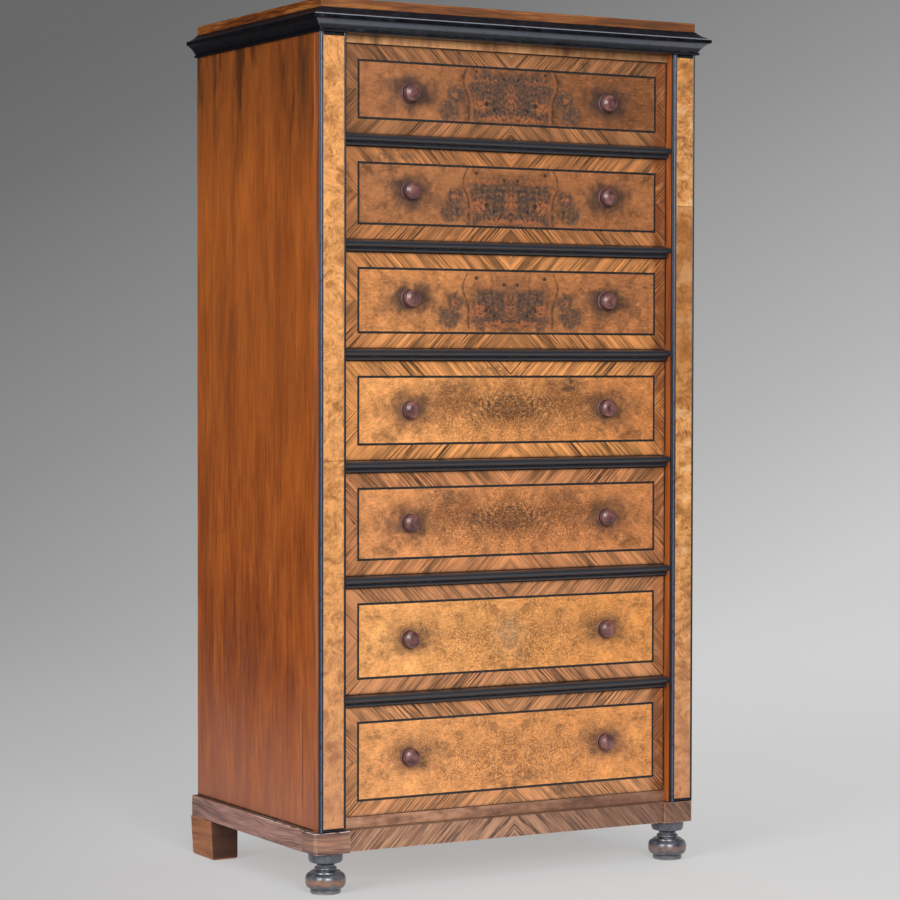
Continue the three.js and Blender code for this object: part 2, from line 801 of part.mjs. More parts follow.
function carcass() {
  const group = new THREE.Group();
  group.add(sidePanel('side_left', 1), sidePanel('side_right', -1));
  group.add(backPanel(), bottomBoard(), friezeRail(), cap());
  group.add(pilaster('pilaster_left', -1, leftPilasterWidth));
  group.add(pilaster('pilaster_right', 1, rightPilasterWidth));
  for (const level of drawers.slice(0, -1)) {
    group.add(divider(level), railMoulding(level));
  }
  group.add(corniceFront());
  group.add(corniceReturn('cornice_left', -1), corniceReturn('cornice_right', 1));
  return group;
}

function plinth() {
  const group = new THREE.Group();
  group.add(plinthFront());
  group.add(plinthSide('plinth_left', -1), plinthSide('plinth_right', 1));
  group.add(plinthBlock('plinth_block_left', -1, leftBlockWidth));
  group.add(plinthBlock('plinth_block_right', 1, rightBlockWidth));
  group.add(rearFoot('rear_foot_left', -1), rearFoot('rear_foot_right', 1));
  group.position.x = -plinthShift;
  return group;
}

const chest = new THREE.Group();
chest.add(turnedFoot('front_foot_left', -1), turnedFoot('front_foot_right', 1));
chest.add(plinth(), carcass(), ...drawers.map(drawer));

export default chest;
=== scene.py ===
# %% [markdown]
# A semainier is a tall chest with a drawer for each day of the week. This one is veneered
# in walnut: burr panels inside dark stringing, diagonal cross-banding, ebonised mouldings
# between the drawers, and mahogany sides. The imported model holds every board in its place,
# so this file starts from it and only adds what the eye needs: finishes, stringing, and
# smoother turned and moulded pieces.

# %% Load the chest
import json
import math

import bmesh
import bpy
from mathutils import Matrix, Vector

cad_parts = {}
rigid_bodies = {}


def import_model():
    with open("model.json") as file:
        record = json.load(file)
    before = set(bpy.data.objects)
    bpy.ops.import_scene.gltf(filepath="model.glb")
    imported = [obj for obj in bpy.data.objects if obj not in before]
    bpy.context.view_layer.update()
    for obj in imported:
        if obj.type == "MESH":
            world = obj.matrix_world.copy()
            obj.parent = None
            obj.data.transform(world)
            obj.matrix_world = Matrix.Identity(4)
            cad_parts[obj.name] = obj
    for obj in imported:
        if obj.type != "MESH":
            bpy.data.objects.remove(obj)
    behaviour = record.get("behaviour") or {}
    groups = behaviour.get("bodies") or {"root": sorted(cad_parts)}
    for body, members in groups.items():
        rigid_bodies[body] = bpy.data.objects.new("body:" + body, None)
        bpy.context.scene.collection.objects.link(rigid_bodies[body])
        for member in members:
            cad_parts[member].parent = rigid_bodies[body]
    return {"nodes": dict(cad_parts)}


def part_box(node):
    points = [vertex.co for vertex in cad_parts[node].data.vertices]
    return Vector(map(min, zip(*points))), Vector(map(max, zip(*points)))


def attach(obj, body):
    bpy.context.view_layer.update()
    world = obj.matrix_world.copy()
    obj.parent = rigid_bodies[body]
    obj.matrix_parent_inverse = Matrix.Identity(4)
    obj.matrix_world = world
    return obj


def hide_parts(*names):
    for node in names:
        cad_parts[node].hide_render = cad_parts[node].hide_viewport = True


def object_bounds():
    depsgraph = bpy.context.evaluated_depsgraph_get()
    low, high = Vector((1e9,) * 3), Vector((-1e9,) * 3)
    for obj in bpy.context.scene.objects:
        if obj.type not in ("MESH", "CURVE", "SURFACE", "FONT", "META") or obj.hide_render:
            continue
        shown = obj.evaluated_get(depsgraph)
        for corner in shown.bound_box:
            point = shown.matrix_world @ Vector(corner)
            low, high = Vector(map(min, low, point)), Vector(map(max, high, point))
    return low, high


MM = 0.001

for leftover in list(bpy.data.objects):
    bpy.data.objects.remove(leftover)
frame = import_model()
cad_low, cad_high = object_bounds()
DRAWERS = range(1, 8)
print("chest is", [round(side, 4) for side in cad_high - cad_low], "metres")

# %% [markdown]
# The camera stands where the photographer stood: in front and to the left, a little above
# the middle of the chest, far back with a long lens. A camera looks along its own -Z axis,
# so its matrix is built from three directions: right, up, and backwards.

# %% Camera
CAMERA_PLACE = Vector((-2.5481, -4.5146, 0.9074))
CAMERA_LENS = 113.63
TURN = math.radians(29.5)
NOD = math.radians(-1.769)
LEAN = math.radians(0.10)

view_ahead = Vector((math.sin(TURN) * math.cos(NOD), math.cos(TURN) * math.cos(NOD), math.sin(NOD)))
level_right = Vector((math.cos(TURN), -math.sin(TURN), 0))
level_up = level_right.cross(view_ahead)
view_right = level_right * math.cos(LEAN) + level_up * math.sin(LEAN)
view_up = view_right.cross(view_ahead)

lens = bpy.data.cameras.new("photographer")
lens.lens = CAMERA_LENS
lens.sensor_width = 36
lens.clip_end = 60
camera = bpy.data.objects.new("photographer", lens)
bpy.context.scene.collection.objects.link(camera)
camera.matrix_world = Matrix.Translation(CAMERA_PLACE) @ Matrix(
    (view_right, view_up, -view_ahead)
).transposed().to_4x4()
bpy.context.scene.camera = camera
bpy.context.scene.view_settings.view_transform = "Standard"
print("camera looks along", [round(part, 3) for part in view_ahead])

# %% [markdown]
# A finish is a recipe of shader nodes. Writing a formula such as `abs(x - joint)` is easier
# to read than a page of node calls, so a `Field` stands for a number that varies over the
# surface, and arithmetic on fields adds Math nodes. All places are in the model's own
# metres (the Object coordinates), so a figure stays on its drawer when the drawer slides.

# %% Fields: numbers that vary over a surface
class Field:
    """A number that varies over a surface."""

    def __init__(self, finish, socket):
        self.finish = finish
        self.socket = socket

    def through(self, operation, *others):
        node = self.finish.add("ShaderNodeMath", operation=operation)
        for place, value in zip(node.inputs, (self, *others)):
            self.finish.feed(place, value)
        return Field(self.finish, node.outputs[0])

    def __add__(self, other):
        return self.through("ADD", other)

    def __sub__(self, other):
        return self.through("SUBTRACT", other)

    def __rsub__(self, other):
        return self.through("MULTIPLY", -1.0).through("ADD", other)

    def __mul__(self, other):
        return self.through("MULTIPLY", other)

    def __abs__(self):
        return self.through("ABSOLUTE")

    __radd__ = __add__
    __rmul__ = __mul__

    def most(self, other):
        return self.through("MAXIMUM", other)

    def least(self, other):
        return self.through("MINIMUM", other)

    def above(self, limit):
        return self.through("GREATER_THAN", limit)

    def fade(self, start, end):
        """Goes smoothly from 0 at start to 1 at end, which may be the smaller of the two."""
        node = self.finish.add("ShaderNodeMapRange", interpolation_type="SMOOTHSTEP")
        rising = end > start
        self.finish.feed(node.inputs["Value"], self)
        self.finish.feed(node.inputs["From Min"], min(start, end))
        self.finish.feed(node.inputs["From Max"], max(start, end))
        self.finish.feed(node.inputs["To Min"], 0.0 if rising else 1.0)
        self.finish.feed(node.inputs["To Max"], 1.0 if rising else 0.0)
        return Field(self.finish, node.outputs["Result"])


# %% [markdown]
# `Finish` holds the material itself. It offers the few ingredients that wood needs: places,
# noise, cells, and colours. A finish starts with a ground colour that runs along a ramp,
# other colours are laid over it as a painter lays glazes, and last the gloss and the relief
# go into the Principled shader. Colours are written as they look on a screen, 0 to 255, and
# turned into the linear values that the shader works in.

# %% Finishes: materials mixed from fields
def tone(*colour):
    """A screen colour of 0 to 255 as linear light, with full alpha."""
    parts = [part / 255 for part in colour]
    linear = [p / 12.92 if p <= 0.04045 else ((p + 0.055) / 1.055) ** 2.4 for p in parts]
    return (*linear, 1.0)


def shaded(colour, share):
    """A screen colour made darker or paler."""
    return tuple(min(255, part * share) for part in colour)


class Finish:
    """A material, and the ingredients to mix it from."""

    def __init__(self, name):
        self.material = bpy.data.materials.new(name)
        self.material.use_nodes = True
        self.tree = self.material.node_tree
        self.shader = self.tree.nodes["Principled BSDF"]
        self.place = self.add("ShaderNodeTexCoord").outputs["Object"]
        split = self.add("ShaderNodeSeparateXYZ")
        self.tree.links.new(self.place, split.inputs[0])
        self.x, self.y, self.z = (Field(self, socket) for socket in split.outputs)

    def add(self, kind, **settings):
        node = self.tree.nodes.new(kind)
        for key, value in settings.items():
            setattr(node, key, value)
        return node

    def feed(self, place, value):
        """Three values are a screen colour where a colour goes in, or else a place."""
        if isinstance(value, tuple):
            value = tone(*value) if place.type == "RGBA" else self.spot(*value)
        if isinstance(value, Field):
            value = value.socket
        if isinstance(value, bpy.types.NodeSocket):
            self.tree.links.new(value, place)
        else:
            place.default_value = value

    def spot(self, x, y, z):
        """A place made of three numbers or fields."""
        node = self.add("ShaderNodeCombineXYZ")
        for place, value in zip(node.inputs, (x, y, z)):
            self.feed(place, value)
        return node.outputs[0]

    def noise(self, at, scale, detail=3.0, roughness=0.55, twist=0.0):
        node = self.add("ShaderNodeTexNoise")
        names = ("Vector", "Scale", "Detail", "Roughness", "Distortion")
        for name, value in zip(names, (at, scale, detail, roughness, twist)):
            self.feed(node.inputs[name], value)
        return Field(self, node.outputs["Fac"])

    def cells(self, at, scale, pick=False):
        """Distance from the nearest of many scattered points, or each cell's own number."""
        node = self.add("ShaderNodeTexVoronoi")
        self.feed(node.inputs["Vector"], at)
        node.inputs["Scale"].default_value = scale
        distance = Field(self, node.outputs["Distance"])
        if not pick:
            return distance
        split = self.add("ShaderNodeSeparateColor")
        self.feed(split.inputs[0], node.outputs["Color"])
        return distance, Field(self, split.outputs[0])

    def ramp(self, along, *stops):
        """A colour that runs through (position, colour) stops."""
        node = self.add("ShaderNodeValToRGB")
        self.feed(node.inputs[0], along)
        points = node.color_ramp.elements
        while len(points) < len(stops):
            points.new(0.5)
        for point, (position, colour) in zip(points, stops):
            point.position = position
            point.color = tone(*colour)
        return node.outputs["Color"]

    def mix(self, share, first, second):
        """The first colour, and as much of the second as share says."""
        node = self.add("ShaderNodeMix", data_type="RGBA")
        for number, value in ((0, share), (6, first), (7, second)):
            self.feed(node.inputs[number], value)
        return node.outputs[2]

    def start(self, along, *stops):
        """The ground colour, over which the others are laid."""
        self.colour = self.ramp(along, *stops)

    def lay(self, share, colour):
        """Lays a colour over what there is, as thickly as share says."""
        self.colour = self.mix(share, self.colour, colour)

    def rubbed(self, width):
        """1 along the edges that hands and cloths rub, 0 on flat stretches."""
        bent = self.add("ShaderNodeBevel", samples=4)
        bent.inputs["Radius"].default_value = width
        flat = self.add("ShaderNodeNewGeometry")
        compare = self.add("ShaderNodeVectorMath", operation="DOT_PRODUCT")
        self.feed(compare.inputs[0], bent.outputs[0])
        self.feed(compare.inputs[1], flat.outputs["Normal"])
        return Field(self, compare.outputs["Value"]).fade(0.995, 0.85)

    def done(self, gloss, relief=None, depth=0.0002, coat=0.0, edge=0.0, shine=0.4):
        """Puts colour, roughness, relief and polish on the shader; returns the material."""
        shader = self.shader.inputs
        self.feed(shader["Base Color"], self.colour)
        shader["Specular IOR Level"].default_value = shine
        self.feed(shader["Roughness"], gloss)
        shader["Coat Weight"].default_value = coat
        shader["Coat Roughness"].default_value = 0.16
        normal = None
        if edge:
            bent = self.add("ShaderNodeBevel", samples=4)
            bent.inputs["Radius"].default_value = edge
            normal = bent.outputs[0]
        if relief is not None:
            bump = self.add("ShaderNodeBump")
            bump.inputs["Distance"].default_value = depth
            bump.inputs["Strength"].default_value = 0.6
            self.feed(bump.inputs["Height"], relief)
            if normal is not None:
                self.feed(bump.inputs["Normal"], normal)
            normal = bump.outputs[0]
        if normal is not None:
            self.feed(shader["Normal"], normal)
        return self.material


def coat_with(material, *nodes):
    """Gives CAD nodes this material."""
    for name in nodes:
        node = frame["nodes"][name]
        node.data.materials.clear()
        node.data.materials.append(material)


# %% [markdown]
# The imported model's triangles are separate, so a worked bead would show its facets. A small
# geometry-nodes modifier welds them and smooths every edge flatter than a set angle. It
# leaves the stored mesh as it is, which is the rule for CAD nodes.

# %% Smooth shading for the CAD nodes
SMOOTH_BELOW = math.radians(32)


def smoothing_group():
    group = bpy.data.node_groups.new("smooth_shallow_edges", "GeometryNodeTree")
    group.interface.new_socket("Geometry", in_out="INPUT", socket_type="NodeSocketGeometry")
    group.interface.new_socket("Geometry", in_out="OUTPUT", socket_type="NodeSocketGeometry")
    add = group.nodes.new
    weld = add("GeometryNodeMergeByDistance")
    weld.inputs["Distance"].default_value = 0.00001
    strip = add("GeometryNodeRemoveAttribute")
    strip.inputs["Name"].default_value = "custom_normal"
    smooth = add("GeometryNodeSetShadeSmooth")
    angle = add("GeometryNodeInputMeshEdgeAngle")
    shallow = add("FunctionNodeCompare")
    shallow.operation = "LESS_THAN"
    shallow.inputs["B"].default_value = SMOOTH_BELOW
    crease = add("GeometryNodeSetShadeSmooth")
    crease.domain = "EDGE"
    link = group.links.new
    link(add("NodeGroupInput").outputs[0], weld.inputs["Geometry"])
    link(weld.outputs["Geometry"], strip.inputs["Geometry"])
    link(strip.outputs["Geometry"], smooth.inputs["Geometry"])
    link(smooth.outputs["Geometry"], crease.inputs["Geometry"])
    link(angle.outputs["Unsigned Angle"], shallow.inputs["A"])
    link(shallow.outputs["Result"], crease.inputs["Shade Smooth"])
    link(crease.outputs["Geometry"], add("NodeGroupOutput").inputs[0])
    return group


welding = smoothing_group()
for node in frame["nodes"].values():
    modifier = node.modifiers.new("smooth_shallow_edges", "NODES")
    modifier.node_group = welding
print("smoothed", len(frame["nodes"]), "nodes")

# %% [markdown]
# The side boards are polished mahogany with upright grain. Upright grain is noise squeezed
# hard along Z, so that it changes over millimetres across the board and only over
# centimetres along it. Broad streaks, fine pores and the wax worn dull in places are three
# such noises at different scales. Long cracks are thin dark lines that wander a little.

# %% Mahogany
case_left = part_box("side_left")[0].x
plinth_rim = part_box("plinth_left")[1].z
SMOKED = ((case_left + 0.205, 0.012), (case_left - 0.165, 0.035))


def mahogany(name, seed, tones, cracks=()):
    wood = Finish(name)
    across = wood.x + wood.y

    def grain(push, squeeze, scale, detail=3.0, roughness=0.55, at=across):
        return wood.noise((at, seed + push, wood.z * squeeze), scale, detail, roughness)

    wander = grain(0, 0.045, 7, 2) * 0.03
    streaks = grain(0, 0.15, 26, 5, 0.65, across + wander)
    fine = grain(3, 0.08, 150, 3, 0.65, across + wander)
    pores = grain(5, 0.06, 900, 2)
    patches = grain(7, 0.5, 5)
    wood.start(streaks * 0.5 + fine * 0.35 + patches * 0.3 - 0.075, *zip((0.37, 0.5, 0.63), tones))
    wood.lay(pores.fade(0.56, 0.68) * 0.4, (64, 26, 4))
    scuff = grain(15, 0.5, 120, 5, 0.75, across * 1.4)
    wood.lay(scuff.fade(0.62, 0.72) * 0.55, (190, 116, 60))
    wood.lay(grain(9, 0.16, 14, 4, 0.65).fade(0.56, 0.75) * 0.3, (72, 34, 14))
    bands = grain(20, 0.1, 17, 4, 0.6)
    wood.lay(bands.fade(0.5, 0.64) * 0.3, (104, 46, 14))
    wood.lay(bands.fade(0.47, 0.34) * 0.25, (176, 96, 38))
    wood.lay(wood.z.fade(0.5, 1.0) * 0.16, (206, 122, 52))
    # Painted shade: the sides darken towards the top, under the cornice.
    wood.lay(wood.z.fade(1.14, 1.42) * 0.42, (66, 30, 2))
    stains = grain(12, 0.2, 22, 4, 0.6).fade(0.5, 0.66)
    wood.lay(stains * wood.z.fade(1.15, 1.4) * 0.75, (46, 22, 4))
    for place, width in SMOKED:
        smoked = abs(across + wander - place).fade(width, 0.0) * wood.z.fade(1.2, 1.42)
        wood.lay(smoked * streaks.fade(0.35, 0.6) * 0.8, (40, 24, 12))
    # Painted reflection of the pale floor: the sides are paler and pinker towards the bottom.
    wood.lay((wood.z + patches * 0.3).fade(0.6, 0.22) * 0.3, (180, 132, 116))
    # Painted shade in the gap over the plinth: a broken dark line just above its rim.
    joint = wood.z.fade(plinth_rim + 0.0045, plinth_rim + 0.0015) * scuff.fade(0.34, 0.46)
    wood.lay(joint * 0.9, (26, 18, 16))
    for place, low, high in cracks:
        line = abs(across + wander * 0.12 - place).fade(0.0016, 0.0004)
        span = wood.z.fade(low, low + 0.05) * wood.z.fade(high, high - 0.05)
        wood.lay(line * span * grain(0, 0.045, 60, 2).fade(0.4, 0.55) * 0.85, (30, 16, 10))
    return wood.done(patches * 0.18 + 0.3, pores * 0.5 + fine, 0.0003, coat=0.05, edge=0.0008, shine=0.15)


LEFT_TONES = (108, 44, 4), (151, 72, 18), (182, 96, 30)
RIGHT_TONES = (104, 46, 14), (138, 68, 26), (160, 86, 36)
left_cracks = (
    (case_left + 0.148, 0.30, 0.48),
    (case_left - 0.17, 0.12, 0.34),
    (case_left - 0.104, 1.10, 1.26),
    (case_left + 0.191, 1.15, 1.29),
    (case_left + 0.056, 1.12, 1.46),
)
coat_with(mahogany("mahogany_left", 1.0, LEFT_TONES, left_cracks), "side_left")
coat_with(mahogany("mahogany_right", 11.0, RIGHT_TONES), "side_right")
print("mahogany on the sides, with", len(left_cracks), "cracks")

# %% [markdown]
# Cap, plinth sides and rear feet are cut from the same kind of wood but lie the other way
# or have darkened. Their grain runs along the board, so the squeezed axis changes. Worn
# arrises are found with the Bevel node: where a softened normal leaves the true one, there
# is an edge, and the polish there has gone.

# %% Level boards: cap, plinth sides, rear feet
def level_board(name, seed, tones, worn, wear, rim=None, face=None, shine=0.3):
    """rim is the height of a worn top edge, with the top face above it darkened as painted shade; face is
    (y, colour, share) of a front of another colour: its own tone on the cap, painted shade on the rear
    feet.
    """
    wood = Finish(name)
    tilt = wood.add("ShaderNodeSeparateXYZ")
    wood.feed(tilt.inputs[0], wood.add("ShaderNodeNewGeometry").outputs["Normal"])
    on_top = Field(wood, tilt.outputs[2]).above(0.7)
    along = wood.x + wood.y * (1 - on_top)
    over = wood.z + wood.y * on_top

    def grain(push, squeeze, scale, detail=3.0, roughness=0.55, at=over):
        return wood.noise((along * squeeze, seed + push, at), scale, detail, roughness)

    bent = over + grain(0, 0.4, 6) * 0.05
    fine = grain(2, 0.04, 420, at=bent)
    cloud = grain(4, 0.4, 11, 5, 0.6)
    shade = grain(0, 0.05, 60, 4, 0.6, bent) * 0.6 + fine * 0.4 + cloud * 0.35 - 0.175
    wood.start(shade, *zip((0.38, 0.5, 0.62), tones))
    scuffs = wood.noise((wood.x, wood.y, wood.z + seed), 45, 4, 0.7)
    arris = wood.rubbed(0.0016) * scuffs.fade(0.42, 0.58) * wear
    if rim is not None:
        arris = arris * wood.y.fade(cad_low.y + 0.03, cad_low.y + 0.015)
        line = wood.z.fade(rim - 0.0014, rim - 0.0008) * scuffs.fade(0.42, 0.54)
        wood.lay(line * wear * wood.y.fade(0.12, -0.1), worn)
        # Painted shade: the top face above the rim is darkened, as in the gap under the case.
        wood.lay((wood.z - rim + 0.0002).above(0.0) * 0.8, (58, 42, 36))
    wood.lay(arris, worn)
    if face is not None:
        wood.lay((0.0004 + face[0] - wood.y).above(0.0) * face[2], face[1])
    return wood.done(cloud * 0.2 + 0.34, fine, 0.0003, edge=0.001, shine=shine)


CAP_TONES = (44, 14, 0), (108, 52, 12), (160, 100, 46)
PLINTH_TONES = (98, 66, 58), (154, 110, 98), (186, 140, 124)
FOOT_TONES = (90, 48, 26), (142, 82, 46), (170, 104, 64)
cap_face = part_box("cap_board")[0].y, (150, 116, 92), 0.22
# The rear feet's fronts are painted dark: painted shade under the chest.
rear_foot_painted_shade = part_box("rear_foot_left")[0].y, (34, 24, 24), 0.85
cap_wood = level_board("cap_wood", 2.0, CAP_TONES, (150, 104, 70), 0.5, face=cap_face, shine=0.12)
plinth_wood = level_board(
    "plinth_wood", 4.0, PLINTH_TONES, (224, 200, 182), 0.9, rim=plinth_rim, shine=0.5
)
rear_foot_wood = level_board("rear_foot_wood", 6.0, FOOT_TONES, (214, 176, 140), 0.9, face=rear_foot_painted_shade)
coat_with(cap_wood, "cap_board")
coat_with(plinth_wood, "plinth_left", "plinth_right")
coat_with(rear_foot_wood, "rear_foot_left", "rear_foot_right")
print("cap, plinth sides and rear feet are done")

# %% [markdown]
# Hidden boards are plain planed softwood: pale, open, unpolished, with cloudy patches and a few
# knots. The drawer boxes are a shade lighter than the back and the dust boards.

# %% Bare inner wood
def bare_wood(name, seed, *tones, upright=False):
    wood = Finish(name)
    along, across = (wood.z, wood.x) if upright else (wood.y, wood.x + wood.z)
    bend = wood.noise((along * 0.6, across * 2, seed), 3, 2) * 0.02
    rings = wood.noise((across + bend, seed, along * 0.03), 70, 4, 0.6)
    fine = wood.noise((across, seed + 4, along * 0.05), 500, 2)
    cloud = wood.noise((wood.x, wood.y, wood.z + seed), 4, 4)
    wood.start(rings * 0.6 + fine * 0.25 + cloud * 0.4 - 0.15, *zip((0.3, 0.5, 0.7), tones))
    knots = wood.cells((across * 3, seed, along * 1.4), 2.2)
    wood.lay(knots.fade(0.07, 0.02) * 0.8, (70, 42, 22))
    return wood.done(cloud * 0.15 + 0.68, fine, 0.0004)


back_wood = bare_wood("back_softwood", 3.0, (104, 74, 52), (150, 112, 80), (178, 140, 104), upright=True)
dust_wood = bare_wood("dust_board_softwood", 5.0, (104, 74, 46), (150, 112, 72), (180, 142, 98))
drawer_wood = bare_wood("drawer_softwood", 8.0, (134, 98, 62), (176, 136, 92), (202, 166, 122))
coat_with(back_wood, "back_panel")
coat_with(dust_wood, *[f"divider_{number}" for number in range(1, 7)])
coat_with(drawer_wood, *[f"drawer_box_{number}" for number in DRAWERS])
print("bare wood inside")

# %% [markdown]
# The drawer fronts carry the show. Two leaves of burr veneer are opened like a book, so the
# figure is mirrored about the joint: every formula uses the distance from that joint instead
# of X. The joint lies a little right of the chest's middle, as do the knobs. Figure that
# gathers somewhere, such as a dark cluster or a stain, is painted through a soft patch.

# %% Places on a drawer front
STRING_LEFT = -294.7 * MM
STRING_RIGHT = 309.7 * MM
STRING_INSET = 27.5 * MM
STRING_WIDTH = 4 * MM
JOINT = (STRING_LEFT + STRING_RIGHT) / 2


def front_box(number):
    low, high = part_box(f"drawer_front_{number}")
    return low, high, (low.z + high.z) / 2


def patch(wood, dx, dz, half_width, half_height, wobble, soft=0.45):
    """1 inside an uneven oval, 0 outside it; dx and dz are distances from its middle."""
    length = wood.add("ShaderNodeVectorMath", operation="LENGTH")
    wood.feed(length.inputs[0], (dx * (1 / half_width), 0.0, dz * (1 / half_height)))
    return (Field(wood, length.outputs["Value"]) + wobble).fade(1.0 + soft, 1.0 - soft)


print("the veneers mirror about x =", round(JOINT, 4))

# %% [markdown]
# Each front has its own ground colour and its own banding. The ground is paler at the left than
# at the right, which is painted light falling from the left, and the banding of the lower four
# has a painted lighter left end. The upper three are full of dark burr, the next two are smoky,
# and the lowest two are golden and freckled. A short table holds those shares, from the top
# drawer down, and a second one the single stains: x, height over the middle, half width, half
# height, share.

# %% The seven fronts
# left and right are a front's tone at its two ends, the right one darker as painted shade; start is a
# painted lighter left end on the banding.
LOOK_PARTS = ("left", "right", "band", "start", "end", "burr", "smoke", "freckle", "halo")
FRONT_ROWS = (
    ((166, 108, 68), (122, 75, 44), (152, 102, 66), 0.0, 0.95, 0.040, 0.0, 0.0, 1.0),
    ((168, 110, 69), (162, 103, 62), (166, 109, 66), 0.0, 1.0, 0.026, 0.0, 0.0, 1.0),
    ((202, 134, 79), (164, 104, 64), (182, 121, 72), 0.0, 1.0, 0.024, 0.0, 0.0, 1.0),
    ((232, 158, 94), (188, 119, 68), (198, 133, 78), 0.6, 0.8, 0.0, 1.0, 0.9, 0.75),
    ((212, 142, 88), (188, 120, 71), (176, 117, 76), 0.45, 0.3, 0.0, 1.0, 1.0, 0.75),
    ((236, 164, 98), (212, 139, 74), (176, 120, 80), 0.45, 0.65, 0.0, 0.3, 0.9, 0.6),
    ((222, 152, 92), (212, 140, 78), (178, 122, 80), 0.4, 0.9, 0.0, 0.2, 1.0, 0.6),
)
FRONT_LOOKS = {number: dict(zip(LOOK_PARTS, row)) for number, row in zip(DRAWERS, FRONT_ROWS)}
STAINS = {
    1: ((-0.105, 0.066, 0.004, 0.012, 0.8), (0.152, 0.066, 0.008, 0.014, 0.7)),
    2: ((-0.25, 0.066, 0.028, 0.010, 0.6), (-0.205, 0.066, 0.012, 0.008, 0.5)),
    3: ((0.283, 0.030, 0.004, 0.003, 0.8),),
    4: (
        (0.118, 0.044, 0.026, 0.010, 0.85), (-0.04, 0.072, 0.032, 0.011, 0.55),
        (-0.125, 0.040, 0.03, 0.013, 0.5),
    ),
    5: (
        (-0.13, 0.044, 0.032, 0.013, 0.7), (-0.065, 0.002, 0.018, 0.007, 0.6),
        (0.118, 0.044, 0.03, 0.012, 0.45),
    ),
    6: ((0.045, -0.030, 0.026, 0.008, 0.3), (-0.04, 0.072, 0.05, 0.01, 0.4)),
    7: (
        (0.05, -0.045, 0.03, 0.01, 0.4), (-0.137, 0.012, 0.014, 0.012, 0.5),
        (0.11, -0.072, 0.02, 0.01, 0.6),
    ),
}


def burr_ground(wood, seed, across, up, look):
    """The panel's mottled, fibrous wood; gives the places it swirls to, and the fibres."""
    push, lift = ((wood.noise((across, seed + more, up), 18) - 0.5) * 0.03 for more in (0, 5))
    bent = wood.spot(across + push, seed, up + lift)
    # Painted light: the ground runs from the paler left colour to the darker right one.
    painted_shade_to_right = wood.x.fade(STRING_LEFT - 0.05, STRING_RIGHT + 0.05)
    dark, fair, light = (
        wood.mix(painted_shade_to_right, shaded(look["left"], share), shaded(look["right"], share))
        for share in (0.62, 1.0, 1.14)
    )
    mottle = wood.noise(bent, 34, 7, 0.7)
    wood.colour = wood.mix(mottle.fade(0.3, 0.52), dark, fair)
    wood.lay(mottle.fade(0.52, 0.68), light)
    specks = wood.noise(bent, 105, 5, 0.74)
    wood.lay(specks.fade(0.5, 0.64) * 0.35, dark)
    wood.lay(specks.fade(0.48, 0.36) * 0.35, light)
    fibre = wood.noise(((across + push) * 0.3, seed, up + lift), 210, 4, 0.7)
    wood.lay(fibre.fade(0.5, 0.68) * 0.45, dark)
    wood.lay(fibre.fade(0.47, 0.34) * 0.4, shaded(look["left"], 1.12))
    return bent, fibre


print("looks of", len(FRONT_LOOKS), "fronts")

# %% [markdown]
# Burr is wood grown round many sleeping buds. Cut through, every bud is a dark eye or a
# curl. In the upper drawers they are so dense that the veneer is nearly black in the middle,
# with a bracket-shaped line on either side, a reddish column where the leaves meet, and a
# dark knot beyond each bracket.

# %% Dark burr
BRACKET = 86 * MM
BURR_FOOT = 46 * MM
RED_GLOWS = (
    (0.0, -0.006, 0.012, 0.024, 0.45), (0.064, -0.016, 0.015, 0.012, 0.6),
    (0.112, -0.002, 0.006, 0.006, 0.6), (0.03, -0.04, 0.03, 0.006, 0.6),
    (0.05, 0.026, 0.03, 0.004, 0.4),
)
BUD_EYES = (
    (0.07, 0.041, 0.0035, 0.003), (0.05, -0.014, 0.0035, 0.005),
    (0.034, -0.024, 0.003, 0.004), (0.014, 0.03, 0.003, 0.003),
)


def dark_burr(wood, across, up, top, bent):
    """The dark middle of an upper panel; top is how far it rises over the panel's middle."""
    rough = (wood.noise(bent, 48, 5, 0.74) - 0.5) * 2.1
    grit = wood.noise(bent, 150, 5, 0.78)
    curls = abs(wood.noise(bent, 70, 4, 0.65, 1.2) - 0.5)
    shades = (34, 34, 38), (70, 60, 56), (106, 76, 54), (168, 100, 58)
    middle, half = (top - BURR_FOOT) / 2, (top + BURR_FOOT) / 2
    square = (across * (1 / BRACKET)).most(abs(up - middle) * (1 / half))
    mass = (square + rough * 0.5).fade(1.2, 0.75)
    knot = patch(wood, across - 0.112, up + 0.002, 0.017, 0.016, rough * 0.6, 0.3)
    low_knot = patch(wood, across - 0.124, up + 0.028, 0.022, 0.018, rough * 0.6, 0.3)
    dusk = patch(wood, across, up - middle, 0.1, half + 0.014, rough, 0.4)
    haze = patch(wood, across, up + 0.004, 0.16, 0.05, rough, 0.6)
    wood.lay(haze * 0.3, (92, 60, 42))
    wood.lay(dusk * 0.4, (104, 68, 46))
    gritty = wood.ramp(grit, *zip((0.38, 0.46, 0.55, 0.66), shades))
    wood.lay(mass.most(knot).most(low_knot) * 0.9, gritty)
    wood.lay(curls.fade(0.045, 0.0) * dusk * 0.5, (46, 38, 38))
    for dx, dz, width, height, share in RED_GLOWS:
        glow = patch(wood, across - dx, up - dz, width, height, rough * 0.7, 0.5)
        wood.lay(glow * grit.fade(0.4, 0.56) * share, (186, 108, 62))
    for dx, dz, width, height in BUD_EYES:
        eye = patch(wood, across - dx, up - dz, width, height, rough * 0.3, 0.3)
        wood.lay(eye * 0.8, (30, 28, 30))
    line = across - BRACKET - abs(up - 0.024).fade(0.036, 0.0) * 0.011 + rough * 0.004
    inside = abs(up - 0.002).fade(0.054, 0.044)
    wood.lay(abs(line + 0.006).fade(0.004, 0.001) * inside * 0.28, (182, 106, 58))
    wood.lay(abs(line).fade(0.0028, 0.0006) * inside * grit.fade(0.62, 0.46) * 0.8, (52, 38, 32))


